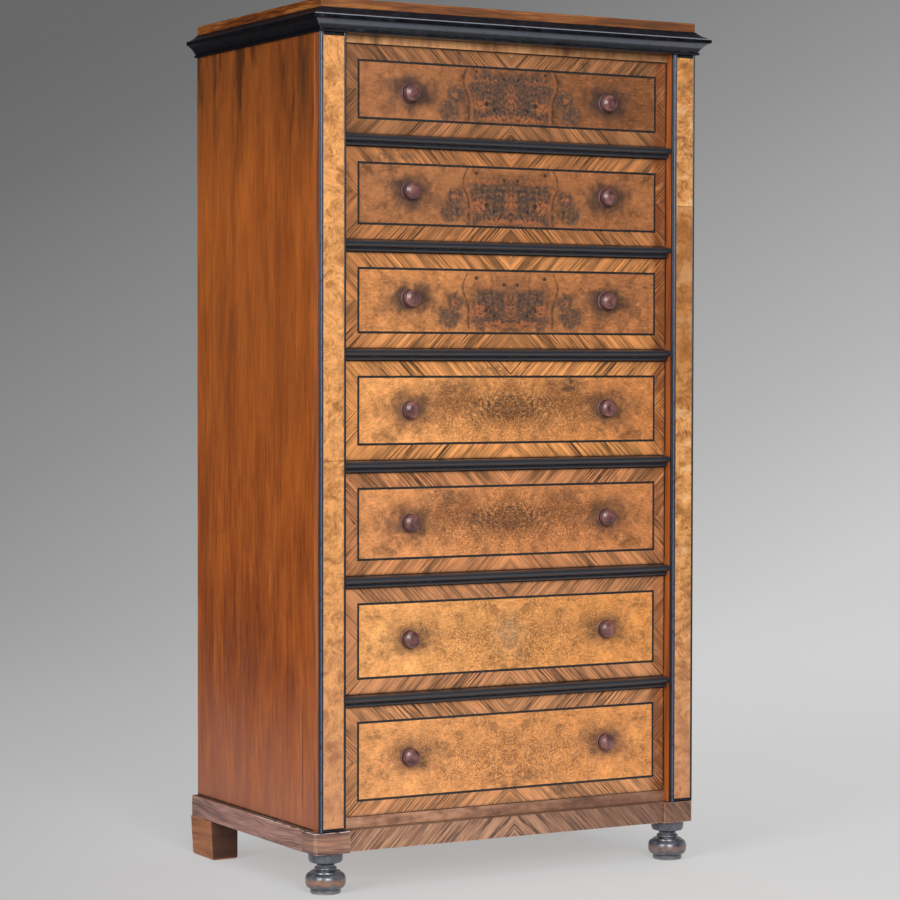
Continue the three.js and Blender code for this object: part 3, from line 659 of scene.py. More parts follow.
print("burr has", len(RED_GLOWS), "reddish spots and", len(BUD_EYES), "eyes to a leaf")

# %% [markdown]
# The lower panels are cut from a calmer part of the burr. Smoke-brown clouds hang in the
# upper half of two of them, and all four are covered with freckles, which are only 2 to
# 4 mm long and gather along the middle.

# %% Smoky and freckled burr
def freckled(wood, seed, across, up, look, bent):
    drift = wood.noise(bent, 20, 5, 0.62)
    wobble = (drift - 0.5) * 2.4
    belt = patch(wood, across, up - 0.012, 0.22, 0.046, wobble, 0.5)
    wood.lay(belt * drift.fade(0.38, 0.6) * look["smoke"], (112, 70, 42))
    grit = wood.noise(bent, 160, 5, 0.75)
    core = patch(wood, across, up - 0.004, 0.09, 0.026, wobble, 0.5)
    wood.lay(core * grit.fade(0.43, 0.58) * look["smoke"], (58, 48, 38))
    fine = wood.noise(bent, 330, 3, 0.7)
    gather = wood.noise((across, seed + 2, up), 26, 3, 0.6).fade(0.38, 0.56)
    field = patch(wood, across, up, 0.25, 0.056, wobble, 0.4)
    share = look["freckle"]
    specks = fine.fade(0.53, 0.62).most(grit.fade(0.57, 0.66)) * gather * field
    wood.lay(specks * share * 0.9, (92, 46, 24))
    nests = wood.noise(bent, 46, 5, 0.68, 0.8).fade(0.55, 0.64)
    low_belt = patch(wood, across - 0.07, up + 0.012, 0.12, 0.034, wobble, 0.6)
    wood.lay(nests * low_belt * share * 0.5, (128, 66, 32))
    curls = abs(wood.noise(bent, 60, 4, 0.65, 1.0) - 0.5).fade(0.03, 0.0)
    wood.lay(curls * field * share * 0.5, (110, 60, 32))
    wood.lay(fine.fade(0.46, 0.38) * field * share * 0.5, shaded(look["left"], 1.18))


def cross_banding(wood, number, across, up, look):
    """Diagonal banding that leans away from the middle of the front, mirrored four ways."""
    seed = 20.0 + 1.7 * number
    lower = up.above(0.0) * 5.0
    lean = across - abs(up)
    run = across + abs(up)

    def veins(stretch, scale, detail=3.0, roughness=0.55, at=lean, layer=lower):
        return wood.noise((at, run * stretch + seed, layer), scale, detail, roughness)

    def band(share):
        return shaded(look["band"], share)

    lines = veins(0.02, 290, 3, 0.7)
    wood.start(veins(0.07, 60, 4, 0.65), (0.36, band(0.68)), (0.5, band(1.03)), (0.64, band(1.26)))
    beyond = (across - (STRING_RIGHT - JOINT)).fade(-0.012, 0.006)
    on_right = wood.x.above(JOINT)
    # Painted light: the lower fronts' banding is lighter at its left end.
    wood.lay(beyond * (1 - on_right) * look["start"], band(1.3))
    wood.lay(beyond * on_right * veins(0.5, 40).fade(0.25, 0.5) * look["end"], (122, 66, 32))
    strong = wood.noise((lean, seed + 3, lower), 17, 2).fade(0.42, 0.58) * 0.6 + 0.35
    hair = veins(0.02, 620, 2, layer=lower + 2.0)
    wood.lay(hair.fade(0.5, 0.62) * strong * 0.6, band(0.45))
    wood.lay(lines.fade(0.51, 0.59) * strong, band(0.34))
    wood.lay(lines.fade(0.47, 0.38) * 0.4, band(1.3))
    wood.lay(veins(0.3, 30, at=lean * 0.6).fade(0.55, 0.7) * 0.5, band(0.6))
    return lines


print("banding leans at 45 degrees")

# %% [markdown]
# Round every knob the polish is nearly black, from a century and a half of fingers. The
# halo, the single stains and the darkening along the drawer's edges go over panel and banding
# alike, so they are laid on last.

# %% Finishing each front
def drawer_front_finish(number):
    wood = Finish(f"veneered_front_{number}")
    look = FRONT_LOOKS[number]
    seed = 4.0 + 0.04 * number if number < 4 else 6.0 + 0.9 * (number // 2)
    low, high, middle = front_box(number)
    across = abs(wood.x - JOINT)
    up = wood.z - middle
    bent, fibre = burr_ground(wood, seed, across, up, look)
    if look["burr"]:
        dark_burr(wood, across, up, look["burr"], bent)
    else:
        freckled(wood, seed, across, up, look, bent)
    calm = across.fade(0.1, 0.15) if look["burr"] else 1.0
    streaks = wood.noise((wood.x * 0.4, seed, wood.z), 380, 3, 0.7)
    wood.lay(streaks.fade(0.5, 0.62) * 0.26 * calm, (116, 68, 36))
    wood.lay(streaks.fade(0.46, 0.36) * 0.22 * calm, shaded(look["left"], 1.18))
    smoky = wood.noise((wood.x, number * 3.3, wood.z), 40, 5, 0.66) - 0.5
    if number == 6:
        streak = wood.noise((wood.x * 3, 0.0, wood.z * 0.8), 90, 4, 0.7)
        rubbed = patch(wood, wood.x - JOINT + 0.004, up + 0.002, 0.024, 0.030, smoky * 4.0, 0.8)
        wood.lay(rubbed * streak.fade(0.36, 0.58) * 0.42, (176, 154, 120))
    panel = wood.colour
    lines = cross_banding(wood, number, across, up, look)
    half_width = (STRING_RIGHT - STRING_LEFT) / 2
    half_height = (high.z - low.z) / 2 - STRING_INSET
    outside = (across - half_width).most(abs(up) - half_height).above(0.0)
    wood.colour = wood.mix(outside, panel, wood.colour)
    speckle = wood.noise(wood.place, 170, 4, 0.75).fade(0.38, 0.56)
    for x, height, half_w, half_h, share in STAINS[number]:
        stain = patch(wood, wood.x - JOINT - x, up - height, half_w, half_h, smoky * 5.0, 0.8)
        wood.lay(stain * speckle * share, (62, 52, 44))
    for hand in ("left", "right"):
        knob_low, knob_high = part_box(f"knob_{hand}_{number}")
        centre = (knob_low + knob_high) / 2
        dx, dz = wood.x - centre.x - 0.003, wood.z - centre.z
        near = patch(wood, dx, dz, 0.034, 0.023, smoky * 2.4, 0.55)
        wide = patch(wood, dx, dz, 0.052, 0.032, smoky * 3.2, 0.6)
        wood.lay(wide * look["halo"] * 0.5, (88, 64, 52))
        wood.lay(near * look["halo"] * 0.8, (52, 44, 42))
    from_end = (high.x - low.x) / 2 - abs(wood.x - (low.x + high.x) / 2)
    from_edge = from_end.least((high.z - low.z) / 2 - abs(up))
    # Darker along the drawer's edges, with a thin dark line at the very edge.
    wood.lay(from_edge.fade(0.006, 0.0) * 0.45, (58, 34, 20))
    wood.lay(from_edge.fade(0.0022, 0.0008) * 0.75, (26, 18, 14))
    relief = fibre * (1 - outside) + lines * outside
    return wood.done(smoky * 0.2 + 0.38, relief, 0.0001, coat=0.15, edge=0.0008)


for number in DRAWERS:
    coat_with(drawer_front_finish(number), f"drawer_front_{number}")
print("seven veneered fronts")

# %% [markdown]
# Stringing is a narrow strip of dark wood let into the veneer where panel and banding meet,
# mitred at the corners. It is a real thin piece here: a flat frame of four strips that
# stands a hair proud of the front, so its edge stays crisp at any distance.

# %% Stringing
PROUD = 0.06 * MM
SUNK = 0.5 * MM


def solid(name, mesh_maker, material, smooth=None):
    """Makes a mesh object with bmesh; smooth is the sharpest edge that is shaded smooth."""
    mesh = bpy.data.meshes.new(name)
    shape = bmesh.new()
    mesh_maker(shape)
    bmesh.ops.recalc_face_normals(shape, faces=shape.faces)
    shape.to_mesh(mesh)
    shape.free()
    if smooth is not None:
        mesh.polygons.foreach_set("use_smooth", [True] * len(mesh.polygons))
        mesh.set_sharp_from_angle(angle=smooth)
    piece = bpy.data.objects.new(name, mesh)
    bpy.context.scene.collection.objects.link(piece)
    mesh.materials.append(material)
    return piece


def new_piece(name, mesh_maker, material, body, smooth=None):
    """A solid that rides on a body of the chest."""
    piece = solid(name, mesh_maker, material, smooth)
    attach(piece, body)
    return piece


def flat_frame(shape, outer, inner, front, back):
    """A closed rectangular frame between two rectangles (x0, z0, x1, z1) and two depths."""
    rings = []
    for (x0, z0, x1, z1), y in ((outer, front), (inner, front), (inner, back), (outer, back)):
        corners = ((x0, z0), (x1, z0), (x1, z1), (x0, z1))
        rings.append([shape.verts.new((x, y, z)) for x, z in corners])
    for first, second in zip(rings, rings[1:] + rings[:1]):
        for corner in range(4):
            nearby = (corner + 1) % 4
            shape.faces.new((first[corner], first[nearby], second[nearby], second[corner]))


def string_finish():
    wood = Finish("dyed_stringing")
    grain = wood.noise((wood.x * 0.2, 0.0, wood.z * 0.2), 700, 3)
    rub = wood.noise(wood.place, 40, 4, 0.6)
    wood.start(grain, (0.35, (20, 20, 22)), (0.6, (34, 36, 38)), (0.75, (54, 58, 58)))
    wood.lay(rub.fade(0.6, 0.75) * 0.3, (92, 84, 66))
    return wood.done(rub * 0.2 + 0.35, grain, 0.0001)


dark_string = string_finish()
for number in DRAWERS:
    low, high, middle = front_box(number)
    half = STRING_WIDTH / 2
    line = (STRING_LEFT, low.z + STRING_INSET, STRING_RIGHT, high.z - STRING_INSET)
    outer = (line[0] - half, line[1] - half, line[2] + half, line[3] + half)
    inner = (line[0] + half, line[1] + half, line[2] - half, line[3] - half)
    new_piece(
        f"stringing_{number}",
        lambda shape: flat_frame(shape, outer, inner, low.y - PROUD, low.y + SUNK),
        dark_string, f"drawer_{number}",
    )
print("stringing let into seven fronts")

# %% [markdown]
# Frieze, bottom rail and plinth are veneered too. The plinth front and its corner blocks
# have the same leaning banding as the drawers, but in wider, coarser leaves; the frieze has
# upright grain, and the bottom rail has a length of curly wood.

# %% Frieze, bottom rail and plinth front
def leaning_veneer(name, seed, tones, wear):
    wood = Finish(name)
    across = abs(wood.x - JOINT)
    lean = across + wood.z
    run = across - wood.z

    def veins(stretch, layer, scale, detail=3.0, roughness=0.55):
        return wood.noise((lean, run * stretch + seed, layer), scale, detail, roughness)

    broad = veins(0.06, 0.0, 24, 4, 0.6)
    lines = veins(0.04, 4.0, 210, 3, 0.6)
    leaves = wood.noise((lean * 0.4, seed, 8.0), 12, 2)
    wood.start(broad * 0.7 + leaves * 0.4 - 0.05, *zip((0.32, 0.5, 0.68), tones))
    crowd = leaves.fade(0.4, 0.56) * 0.5 + 0.5
    wood.lay(veins(0.03, 6.0, 480, 2).fade(0.52, 0.6) * crowd * 0.5, (72, 44, 34))
    wood.lay(lines.fade(0.52, 0.58) * crowd * 0.85, (54, 34, 28))
    wood.lay(lines.fade(0.46, 0.38) * 0.35, (216, 170, 128))
    # Painted shade in the gap under the case: dark lines just below the plinth's rim.
    gap = wood.z.fade(plinth_rim - 0.002, plinth_rim - 0.0006)
    wood.lay(gap * lines.fade(0.62, 0.42) * 0.8, (40, 28, 26))
    # Painted shade: darker towards the right, away from the window light.
    wood.lay(wood.x.fade(-0.15, 0.32) * 0.55, (84, 58, 50))
    scuffs = wood.noise(wood.place, 40, 4, 0.7)
    wood.lay(wood.rubbed(0.0022) * scuffs.fade(0.3, 0.55) * wear, (222, 186, 158))
    return wood.done(broad * 0.15 + 0.34, lines, 0.00012, coat=0.25, edge=0.0009)


def rail_veneer(name, seed, tones, stretch_x, stretch_z):
    wood = Finish(name)
    bend = (wood.noise((wood.x * 2, seed, wood.z * 2), 8) - 0.5) * 0.02
    grain = wood.noise(((wood.x + bend) * stretch_x, seed, (wood.z + bend) * stretch_z), 90, 5, 0.65)
    cloud = wood.noise((wood.x, seed, wood.z), 13, 4, 0.6)
    wood.start(grain * 0.55 + cloud * 0.55 - 0.05, *zip((0.35, 0.52, 0.68), tones))
    # Painted shade: darker towards the right, away from the window light.
    wood.lay(wood.x.fade(-0.3, 0.3) * 0.58, tones[0])
    scuffs = wood.noise(wood.place, 70, 4, 0.7)
    wood.lay(wood.rubbed(0.0012) * scuffs.fade(0.4, 0.6) * 0.5, tones[2])
    return wood.done(cloud * 0.15 + 0.34, grain, 0.00012, coat=0.25, edge=0.0006)


BANDING_TONES = (96, 62, 46), (162, 118, 92), (192, 148, 116)
BLOCK_TONES = (70, 46, 42), (118, 84, 72), (164, 118, 94)
FRIEZE_TONES = (100, 64, 38), (212, 154, 104), (236, 176, 122)
RAIL_TONES = (88, 56, 42), (172, 124, 96), (206, 158, 124)
block_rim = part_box("plinth_block_left")[1].z
plinth_veneer = leaning_veneer("plinth_banding", 31.0, BANDING_TONES, 0.6)
block_wood = level_board(
    "corner_block_wood", 37.0, BLOCK_TONES, (226, 204, 192), 1.0, rim=block_rim, shine=0.5
)
coat_with(plinth_veneer, "plinth_front", "plinth_block_right")
coat_with(block_wood, "plinth_block_left")
coat_with(rail_veneer("frieze_veneer", 41.0, FRIEZE_TONES, 1.0, 0.12), "frieze_rail")
coat_with(rail_veneer("bottom_rail_veneer", 43.0, RAIL_TONES, 0.3, 1.0), "bottom_board")
print("frieze, bottom rail and plinth veneered")

# %% [markdown]
# A pilaster is one post with three finishes: golden burr on its face, black beads down both
# front corners and across the ends, and plain red-brown wood on the flanks. Where a point
# lies decides its finish, so the borders follow the worked grooves exactly. A cool painted
# highlight runs down the left bead of each post.

# %% Pilasters
BEAD = 2.7 * MM
END_BEAD = 3 * MM
FACE_THICKNESS = 0.4 * MM


def ebony(wood, seed, lift=0.0):
    """Starts with black-stained wood; lift is how far the stain has faded to grey."""
    rub = wood.noise(wood.place, 55 + seed, 4, 0.65)
    wood.start(rub, (0.35, (12, 13, 17)), (0.6, (26, 28, 36)), (0.8, (56, 52, 54)))
    if lift:
        wood.lay(rub.fade(0.85, 0.35) * lift, (82, 87, 97))
    return rub


def pilaster_finish(name, seed, tones, joints, black_depth, blotches):
    wood = Finish(name)
    low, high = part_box(name)
    half = (high.x - low.x) / 2
    swirl, swirl_up = (
        (wood.noise((wood.x, seed + more, wood.z), 14) - 0.5) * 0.06 for more in (0, 4)
    )
    bent = wood.spot(wood.x + swirl, seed, wood.z + swirl_up)
    dusk, ground, bright = tones
    flames = wood.noise(bent, 34, 7, 0.72, 0.6)
    wood.start(flames, (0.32, dusk), (0.5, ground), (0.62, bright))
    ripple = wood.noise((wood.x * 0.5 + swirl, seed + 8, wood.z + swirl_up), 75, 4, 0.7)
    wood.lay(ripple.fade(0.52, 0.62) * (0.4 + 0.35 * blotches), dusk)
    wood.lay(ripple.fade(0.48, 0.36) * 0.45, bright)
    fibre = wood.noise((wood.x + swirl * 2, seed + 2, wood.z * 0.35 + swirl_up), 260, 3, 0.7)
    wood.lay(fibre.fade(0.52, 0.62) * 0.55, dusk)
    if blotches:
        clouds = wood.noise((wood.x * 0.6, seed + 12, wood.z), 24, 4, 0.6)
        wood.lay(clouds.fade(0.52, 0.62) * 0.5 * blotches, dusk)
        wood.lay(clouds.fade(0.48, 0.38) * 0.6 * blotches, (236, 186, 134))
    distance, chosen = wood.cells(bent, 80, pick=True)
    crowd = wood.noise((wood.x, seed, wood.z), 12).fade(0.4, 0.6)
    wood.lay(distance.fade(0.45, 0.1) * chosen.above(0.55) * crowd * 0.6, (124, 76, 34))
    wood.lay(wood.noise(bent, 55, 4, 0.7, 1.5).fade(0.56, 0.72) * 0.4, (140, 90, 46))
    blots = wood.noise(bent, 26, 5, 0.7).fade(0.66 - 0.1 * blotches, 0.72)
    wood.lay(blots * 0.65, (96, 58, 36))
    wood.lay(wood.z.fade(0.62, 0.1) * 0.5, (166, 114, 90))
    for joint, shade in joints:
        below = (joint - wood.z).above(0.0) * wood.z.fade(joint - 0.5, joint - 0.2)
        wood.lay(below * shade, (140, 84, 40))
        wood.lay(abs(wood.z - joint).fade(0.0012, 0.0003) * 0.6, (90, 54, 28))
    flank = wood.noise((wood.x + wood.y, seed + 6, wood.z * 0.05), 90, 4, 0.6)
    plain = wood.ramp(flank, (0.3, (110, 50, 18)), (0.5, (158, 82, 32)), (0.7, (186, 104, 46)))
    beyond = (abs(wood.x - (low.x + high.x) / 2) - (half - 2 * BEAD)).above(0.0)
    wood.lay(beyond * (wood.y - (low.y + FACE_THICKNESS)).above(0.0), plain)
    face = wood.colour
    rub = ebony(wood, seed)
    in_front = 1 - (wood.y - (low.y + black_depth * BEAD)).above(0.0)
    end = abs(wood.z - (low.z + high.z) / 2) - ((high.z - low.z) / 2 - 2 * END_BEAD)
    bead = (beyond * in_front).most(end.above(0.0) * in_front)
    # Painted highlight: a cool line down the left bead, where the window light falls.
    painted_bead_highlight = abs(wood.x - low.x - 0.75 * BEAD).fade(0.75 * BEAD, 0.3 * BEAD)
    facing = (low.y + 1.2 * BEAD - wood.y).above(0.0)
    wood.lay(painted_bead_highlight * facing * rub.fade(0.25, 0.5) * 0.8, (66, 80, 106))
    wood.colour = wood.mix(bead, face, wood.colour)
    return wood.done(rub * 0.14 + 0.28, flames, 0.00012, coat=0.12, edge=0.0003)


LEFT_POST = (142, 89, 46), (210, 147, 88), (236, 166, 100)
RIGHT_POST = (139, 87, 45), (206, 145, 86), (231, 163, 98)
left_post = pilaster_finish("pilaster_left", 51.0, LEFT_POST, ((0.74, 0.1),), 3.0, 0.0)
right_post = pilaster_finish("pilaster_right", 57.0, RIGHT_POST, ((1.19, 0.5),), 3.6, 1.0)
coat_with(left_post, "pilaster_left")
coat_with(right_post, "pilaster_right")
print("pilasters between their beads")

# %% [markdown]
# Black mouldings are wood too: stained, polished, and rubbed back to brown on the corners.
# They are drawn again here with finer curves than the model's, from the same profile, by
# sweeping a section of (out, up) points between two ends. A function says where each point
# of the section lies at either end, so square ends and mitres need no cutting.

# %% Sections and sweeps
def bow(start, pull, end, steps=10):
    """Points on a quadratic curve, without its first point."""
    points = []
    for step in range(1, steps + 1):
        t = step / steps
        points.append(tuple(
            (1 - t) ** 2 * a + 2 * t * (1 - t) * b + t * t * c for a, b, c in zip(start, pull, end)
        ))
    return points


def round_off(centre, radius, begin, end, steps=12):
    """Points on an arc, angles in degrees."""
    angles = [math.radians(begin + (end - begin) * step / steps) for step in range(steps + 1)]
    return [(centre[0] + radius * math.cos(a), centre[1] + radius * math.sin(a)) for a in angles]


def sweep(shape, section, ends):
    """A closed bar: the section at each end, joined by strips, with both ends filled."""
    rings = [[shape.verts.new(end(out, up)) for out, up in section] for end in ends]
    for first, second in zip(rings, rings[1:]):
        for here in range(len(section)):
            there = (here + 1) % len(section)
            shape.faces.new((first[here], first[there], second[there], second[here]))
    shape.faces.new(rings[0])
    shape.faces.new(rings[-1])


def ebonised_finish(name, seed, worn, wear, lift, shine=0.45, dull_above=None, painted_highlights=(), painted_return_shade=0.0):
    """Above dull_above there is hardly any shine and no coat; gleams are painted highlight lines (height,
    half width, share, grey); soot is painted shade laid in black over the whole piece.
    """
    wood = Finish(name)
    rub = ebony(wood, seed, lift)
    scuffs = wood.noise(wood.place, 90, 4, 0.7)
    wood.lay(wood.rubbed(0.0015) * scuffs.fade(0.45, 0.7) * wear, worn)
    # Painted shade: this darkens the whole piece towards black.
    if painted_return_shade:
        wood.lay(painted_return_shade, (4, 4, 6))
    # Painted highlights: pale lines along the length at given heights.
    for height, reach, share, grey in painted_highlights:
        line = abs(wood.z - height).fade(reach, reach * 0.3) * scuffs.fade(0.2, 0.45)
        wood.lay(line * share, (grey, grey + 4, grey + 14))
    grain = wood.noise((wood.x * 0.1, wood.y, wood.z), 500, 2)
    material = wood.done(rub * 0.16 + 0.24, grain, 0.0001, coat=shine * 0.4, shine=shine)
    if dull_above is not None:
        polished = (dull_above - wood.z).above(0.0)
        wood.feed(wood.shader.inputs["Specular IOR Level"], polished * shine + 0.02)
        wood.feed(wood.shader.inputs["Coat Weight"], polished * shine * 0.4)
    return material


# %% [markdown]
# The rail moulding has a swelling nose, a groove and a small bead below. Six of them close
# the dividers' front edges between the pilasters.

# %% Rail mouldings
RAIL_REACH = 17.4 * MM
RAIL_LIP = (2.5 * MM, 1.2 * MM)
RAIL_NOSE = 12.6 * MM
RAIL_NOSE_SHARE = 0.38
RAIL_BEAD = (2 * MM, 9.2 * MM)
RAIL_GROOVE = 6.4 * MM


def rail_section(height):
    nose_top = height - RAIL_LIP[1]
    nose_foot = height - RAIL_NOSE
    widest = nose_top - (nose_top - nose_foot) * RAIL_NOSE_SHARE
    radius, reach = RAIL_BEAD
    bead_up = (nose_foot - RAIL_LIP[1]) / 2
    section = [(0, 0), (0, height), (RAIL_LIP[0], height)]
    section += bow(section[-1], (RAIL_REACH, height), (RAIL_REACH, widest))
    section += bow(section[-1], (RAIL_REACH, nose_foot), (RAIL_GROOVE, nose_foot))
    section += round_off((reach - radius, bead_up), radius, 90, -90)
    section.append((RAIL_GROOVE, 0))
    return section


rail_black = ebonised_finish("ebonised_rail", 1.0, (128, 124, 122), 0.8, 0.16, 0.7)
for number in range(1, 7):
    low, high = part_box(f"rail_moulding_{number}")
    section = rail_section(high.z - low.z)
    ends = [lambda out, up, x=x: (x, high.y - out, low.z + up) for x in (low.x, high.x)]
    rail = new_piece(
        f"rail_bead_{number}", lambda shape: sweep(shape, section, ends),
        rail_black, "carcass", SMOOTH_BELOW,
    )
    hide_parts(f"rail_moulding_{number}")
print("six rail mouldings,", len(section), "points to a section")

# %% [markdown]
# The cornice steps out over the pilasters: bead, hollow, upright nose, and a hollow slope
# back to the cap. At the front corners the lengths meet in mitres, which a sweep gets by
# letting each point run on as far as it stands out. Two painted highlights run along the front
# length, one in the hollow and one at the top of the nose, each at its own height, and the
# rubbed grey edges there are partly painted highlight too. The returns are darkened all over
# with painted shade.

# %% Cornice
CORNICE_REACH = 21.4 * MM
CORNICE_BEAD = (2.3 * MM, 5.9 * MM)
CORNICE_QUIRK = 0.8 * MM
COVE_FOOT = 3.3 * MM
NOSE_FOOT = 20.9 * MM
NOSE_HEIGHT = 8 * MM
NOSE_EASE = 3.2 * MM
MITRE_GAP = 0.1 * MM
RETURN_INSET = 0.2 * MM


def cornice_section(height, back):
    radius, reach = CORNICE_BEAD
    cove_top = radius * 2 + CORNICE_QUIRK
    nose_top = NOSE_FOOT + NOSE_HEIGHT
    swell = CORNICE_REACH - COVE_FOOT
    section = [(-back, 0)]
    section += round_off((reach - radius, radius), radius, -90, 90)
    section.append((COVE_FOOT, cove_top))
    section += bow(
        section[-1], (COVE_FOOT + swell * 0.3, cove_top + (NOSE_FOOT - cove_top) * 0.6),
        (CORNICE_REACH - NOSE_EASE, NOSE_FOOT),
    )
    section += bow(section[-1], (CORNICE_REACH, NOSE_FOOT), (CORNICE_REACH, NOSE_FOOT + NOSE_EASE), 4)
    section.append((CORNICE_REACH, nose_top - NOSE_EASE))
    section += bow(section[-1], (CORNICE_REACH, nose_top), (CORNICE_REACH - NOSE_EASE, nose_top), 4)
    lip = max(0.0, -back)
    section += bow(
        section[-1], (CORNICE_REACH * 0.3, nose_top + (height - nose_top) * 0.38), (lip, height)
    )
    if back > 0:
        section.append((-back, height))
    return section


def cornice_pieces():
    low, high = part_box("cornice_front")
    height = high.z - low.z
    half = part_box("side_right")[1].x
    face = low.y + CORNICE_REACH
    front = cornice_section(height, high.y - face)
    corners = [
        lambda out, up, side=side: (side * (half - MITRE_GAP + max(out, 0)), face - out, low.z + up)
        for side in (-1, 1)
    ]
    yield "cornice_front", front, corners
    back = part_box("cornice_left")[1].y
    flank = cornice_section(height, -RETURN_INSET)
    for side, name in ((-1, "cornice_left"), (1, "cornice_right")):
        yield name, flank, [
            lambda out, up, side=side: (side * (half + out), face - out + MITRE_GAP, low.z + up),
            lambda out, up, side=side: (side * (half + out), back, low.z + up),
        ]


cornice_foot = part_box("cornice_front")[0].z
nose_foot = cornice_foot + NOSE_FOOT
nose_top = nose_foot + NOSE_HEIGHT
cove_middle = (cornice_foot + COVE_FOOT + nose_foot) / 2
nose_painted_highlight = (nose_top - 1 * MM, 1.4 * MM, 0.8, 140)
cove_painted_highlight = (cove_middle + 4 * MM, 5.5 * MM, 0.8, 96)
# The front length's grey rubbed edges are wear and also painted highlight on the nose's edges.
cornice_black = {
    "cornice_front": ebonised_finish(
        "ebonised_cornice", 5.0, (128, 126, 130), 0.9, 0.0, 0.3, nose_foot, (nose_painted_highlight, cove_painted_highlight)
    ),
}
# The returns are darkened all over as painted shade.
for node in ("cornice_left", "cornice_right"):
    cornice_black[node] = ebonised_finish(
        f"ebonised_{node}", 5.0, (88, 80, 78), 0.5, 0.0, 0.08, cornice_foot, painted_return_shade=0.6
    )
for node, section, ends in cornice_pieces():
    length = new_piece(
        node + "_moulding", lambda shape: sweep(shape, section, ends),
        cornice_black[node], "carcass", SMOOTH_BELOW,
    )
    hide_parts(node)
print("cornice mitred at both front corners")

# %% [markdown]
# Knobs and feet are turned on a lathe, so both come from `bmesh.ops.spin`: a profile of
# (radius, height) points is carried once round its axis. The knob has a flange against the
# front, a fine neck, and a domed face with a shallow dish where the lathe's centre was.

# %% Turning
def turned(shape, profile, axis_point, axis, sides):
    """Spins a profile round an axis; its first and last points lie on the axis."""
    axis = Vector(axis)
    out = axis.orthogonal().normalized()
    points = [shape.verts.new(Vector(axis_point) + out * r + axis * h) for r, h in profile]
    edges = [shape.edges.new(pair) for pair in zip(points, points[1:])]
    bmesh.ops.spin(
        shape, geom=points + edges, cent=axis_point, axis=axis, angle=math.tau, steps=sides,
        use_merge=True,
    )
    bmesh.ops.remove_doubles(shape, verts=shape.verts, dist=0.000005)


FLANGE = (15.6 * MM, 5.4 * MM)
KNOB_NECK = (12.8 * MM, 2.2 * MM)
KNOB_FACE = (14.8 * MM, 10 * MM)
KNOB_DOME = 3 * MM
KNOB_DISH = (6 * MM, 0.6 * MM)
KNOB_EASE = 0.2 * MM
SEAT_GAP = 0.1 * MM


def knob_profile():
    flange, thick = FLANGE
    radius, depth = KNOB_FACE
    face_foot = thick + KNOB_NECK[1]
    rim = face_foot + depth
    profile = [(0, 0), (flange - KNOB_EASE, 0)]
    profile += bow(profile[-1], (flange + thick / 4, thick / 2), (flange - KNOB_EASE, thick), 8)
    profile += [(KNOB_NECK[0], thick), (KNOB_NECK[0], face_foot), (radius - KNOB_EASE, face_foot)]
    profile += bow(profile[-1], (radius + KNOB_EASE, rim), (radius - KNOB_DOME / 2, rim), 8)
    dome = rim + KNOB_DOME
    dish_radius, dish_depth = KNOB_DISH
    profile += bow(profile[-1], (radius / 2, dome), (dish_radius, dome - dish_depth / 2), 8)
    profile.append((0, dome - dish_depth))
    return profile


def knob_finish():
    wood = Finish("turned_knob_wood")
    rings = wood.noise((wood.x, wood.y * 4, wood.z), 70, 4, 0.6)
    cloud = wood.noise(wood.place, 30, 3)
    wood.start(
        rings * 0.6 + cloud * 0.4, (0.38, (56, 32, 36)), (0.5, (100, 64, 62)), (0.64, (142, 94, 86))
    )
    wood.lay(wood.rubbed(0.0012) * 0.4, (170, 124, 104))
    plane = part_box("drawer_front_1")[0].y
    # Painted shade: the neck's groove between flange and head is darkened.
    painted_neck_shade = abs(wood.y - plane + FLANGE[1] + KNOB_NECK[1] / 2).fade(0.0015, 0.0009)
    wood.lay(painted_neck_shade * 0.9, (26, 14, 18))
    # Painted highlight: the flange is made lighter and cooler, as where the window light falls on it.
    flange = (wood.y - plane + FLANGE[1]).above(0.0)
    wood.lay(flange * 0.3, (150, 124, 132))
    return wood.done(cloud * 0.15 + 0.3, rings, 0.00015, coat=0.25)


knob_wood = knob_finish()
for number in DRAWERS:
    for hand in ("left", "right"):
        node = f"knob_{hand}_{number}"
        low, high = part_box(node)
        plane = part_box(f"drawer_front_{number}")[0].y
        foot = ((low.x + high.x) / 2, plane - SEAT_GAP, (low.z + high.z) / 2)
        knob = new_piece(
            f"turned_knob_{hand}_{number}",
            lambda shape: turned(shape, knob_profile(), foot, (0, -1, 0), 40),
            knob_wood, f"drawer_{number}", SMOOTH_BELOW,
        )
        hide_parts(node)
print("fourteen knobs,", len(knob_profile()), "points to a profile")

# %% [markdown]
# The front feet are turned and ebonised: a pad, a bun, two thin rings, a hollow, and a
# collar under the plinth block. Boots and brooms have rubbed the bun's widest line back to
# brown, so the finish looks at the height above the floor as well as at the edges.

# %% Front feet
FOOT_QUIRK = 0.8 * MM
PAD = (26.5 * MM, 8 * MM)
PAD_EASE = 1.2 * MM
BUN = (35 * MM, 26.4 * MM)
BUN_WAIST = 26.5 * MM
RING = (25.6 * MM, 2.4 * MM)
WAIST_HEIGHT = 1.6 * MM
TORUS = (19.4 * MM, 6.2 * MM)
FOOT_NECK = (15.4 * MM, 2 * MM)
FOOT_COVE = 6.2 * MM
FOOT_LIP = 27.2 * MM
COLLAR = (29.8 * MM, 2.6 * MM)


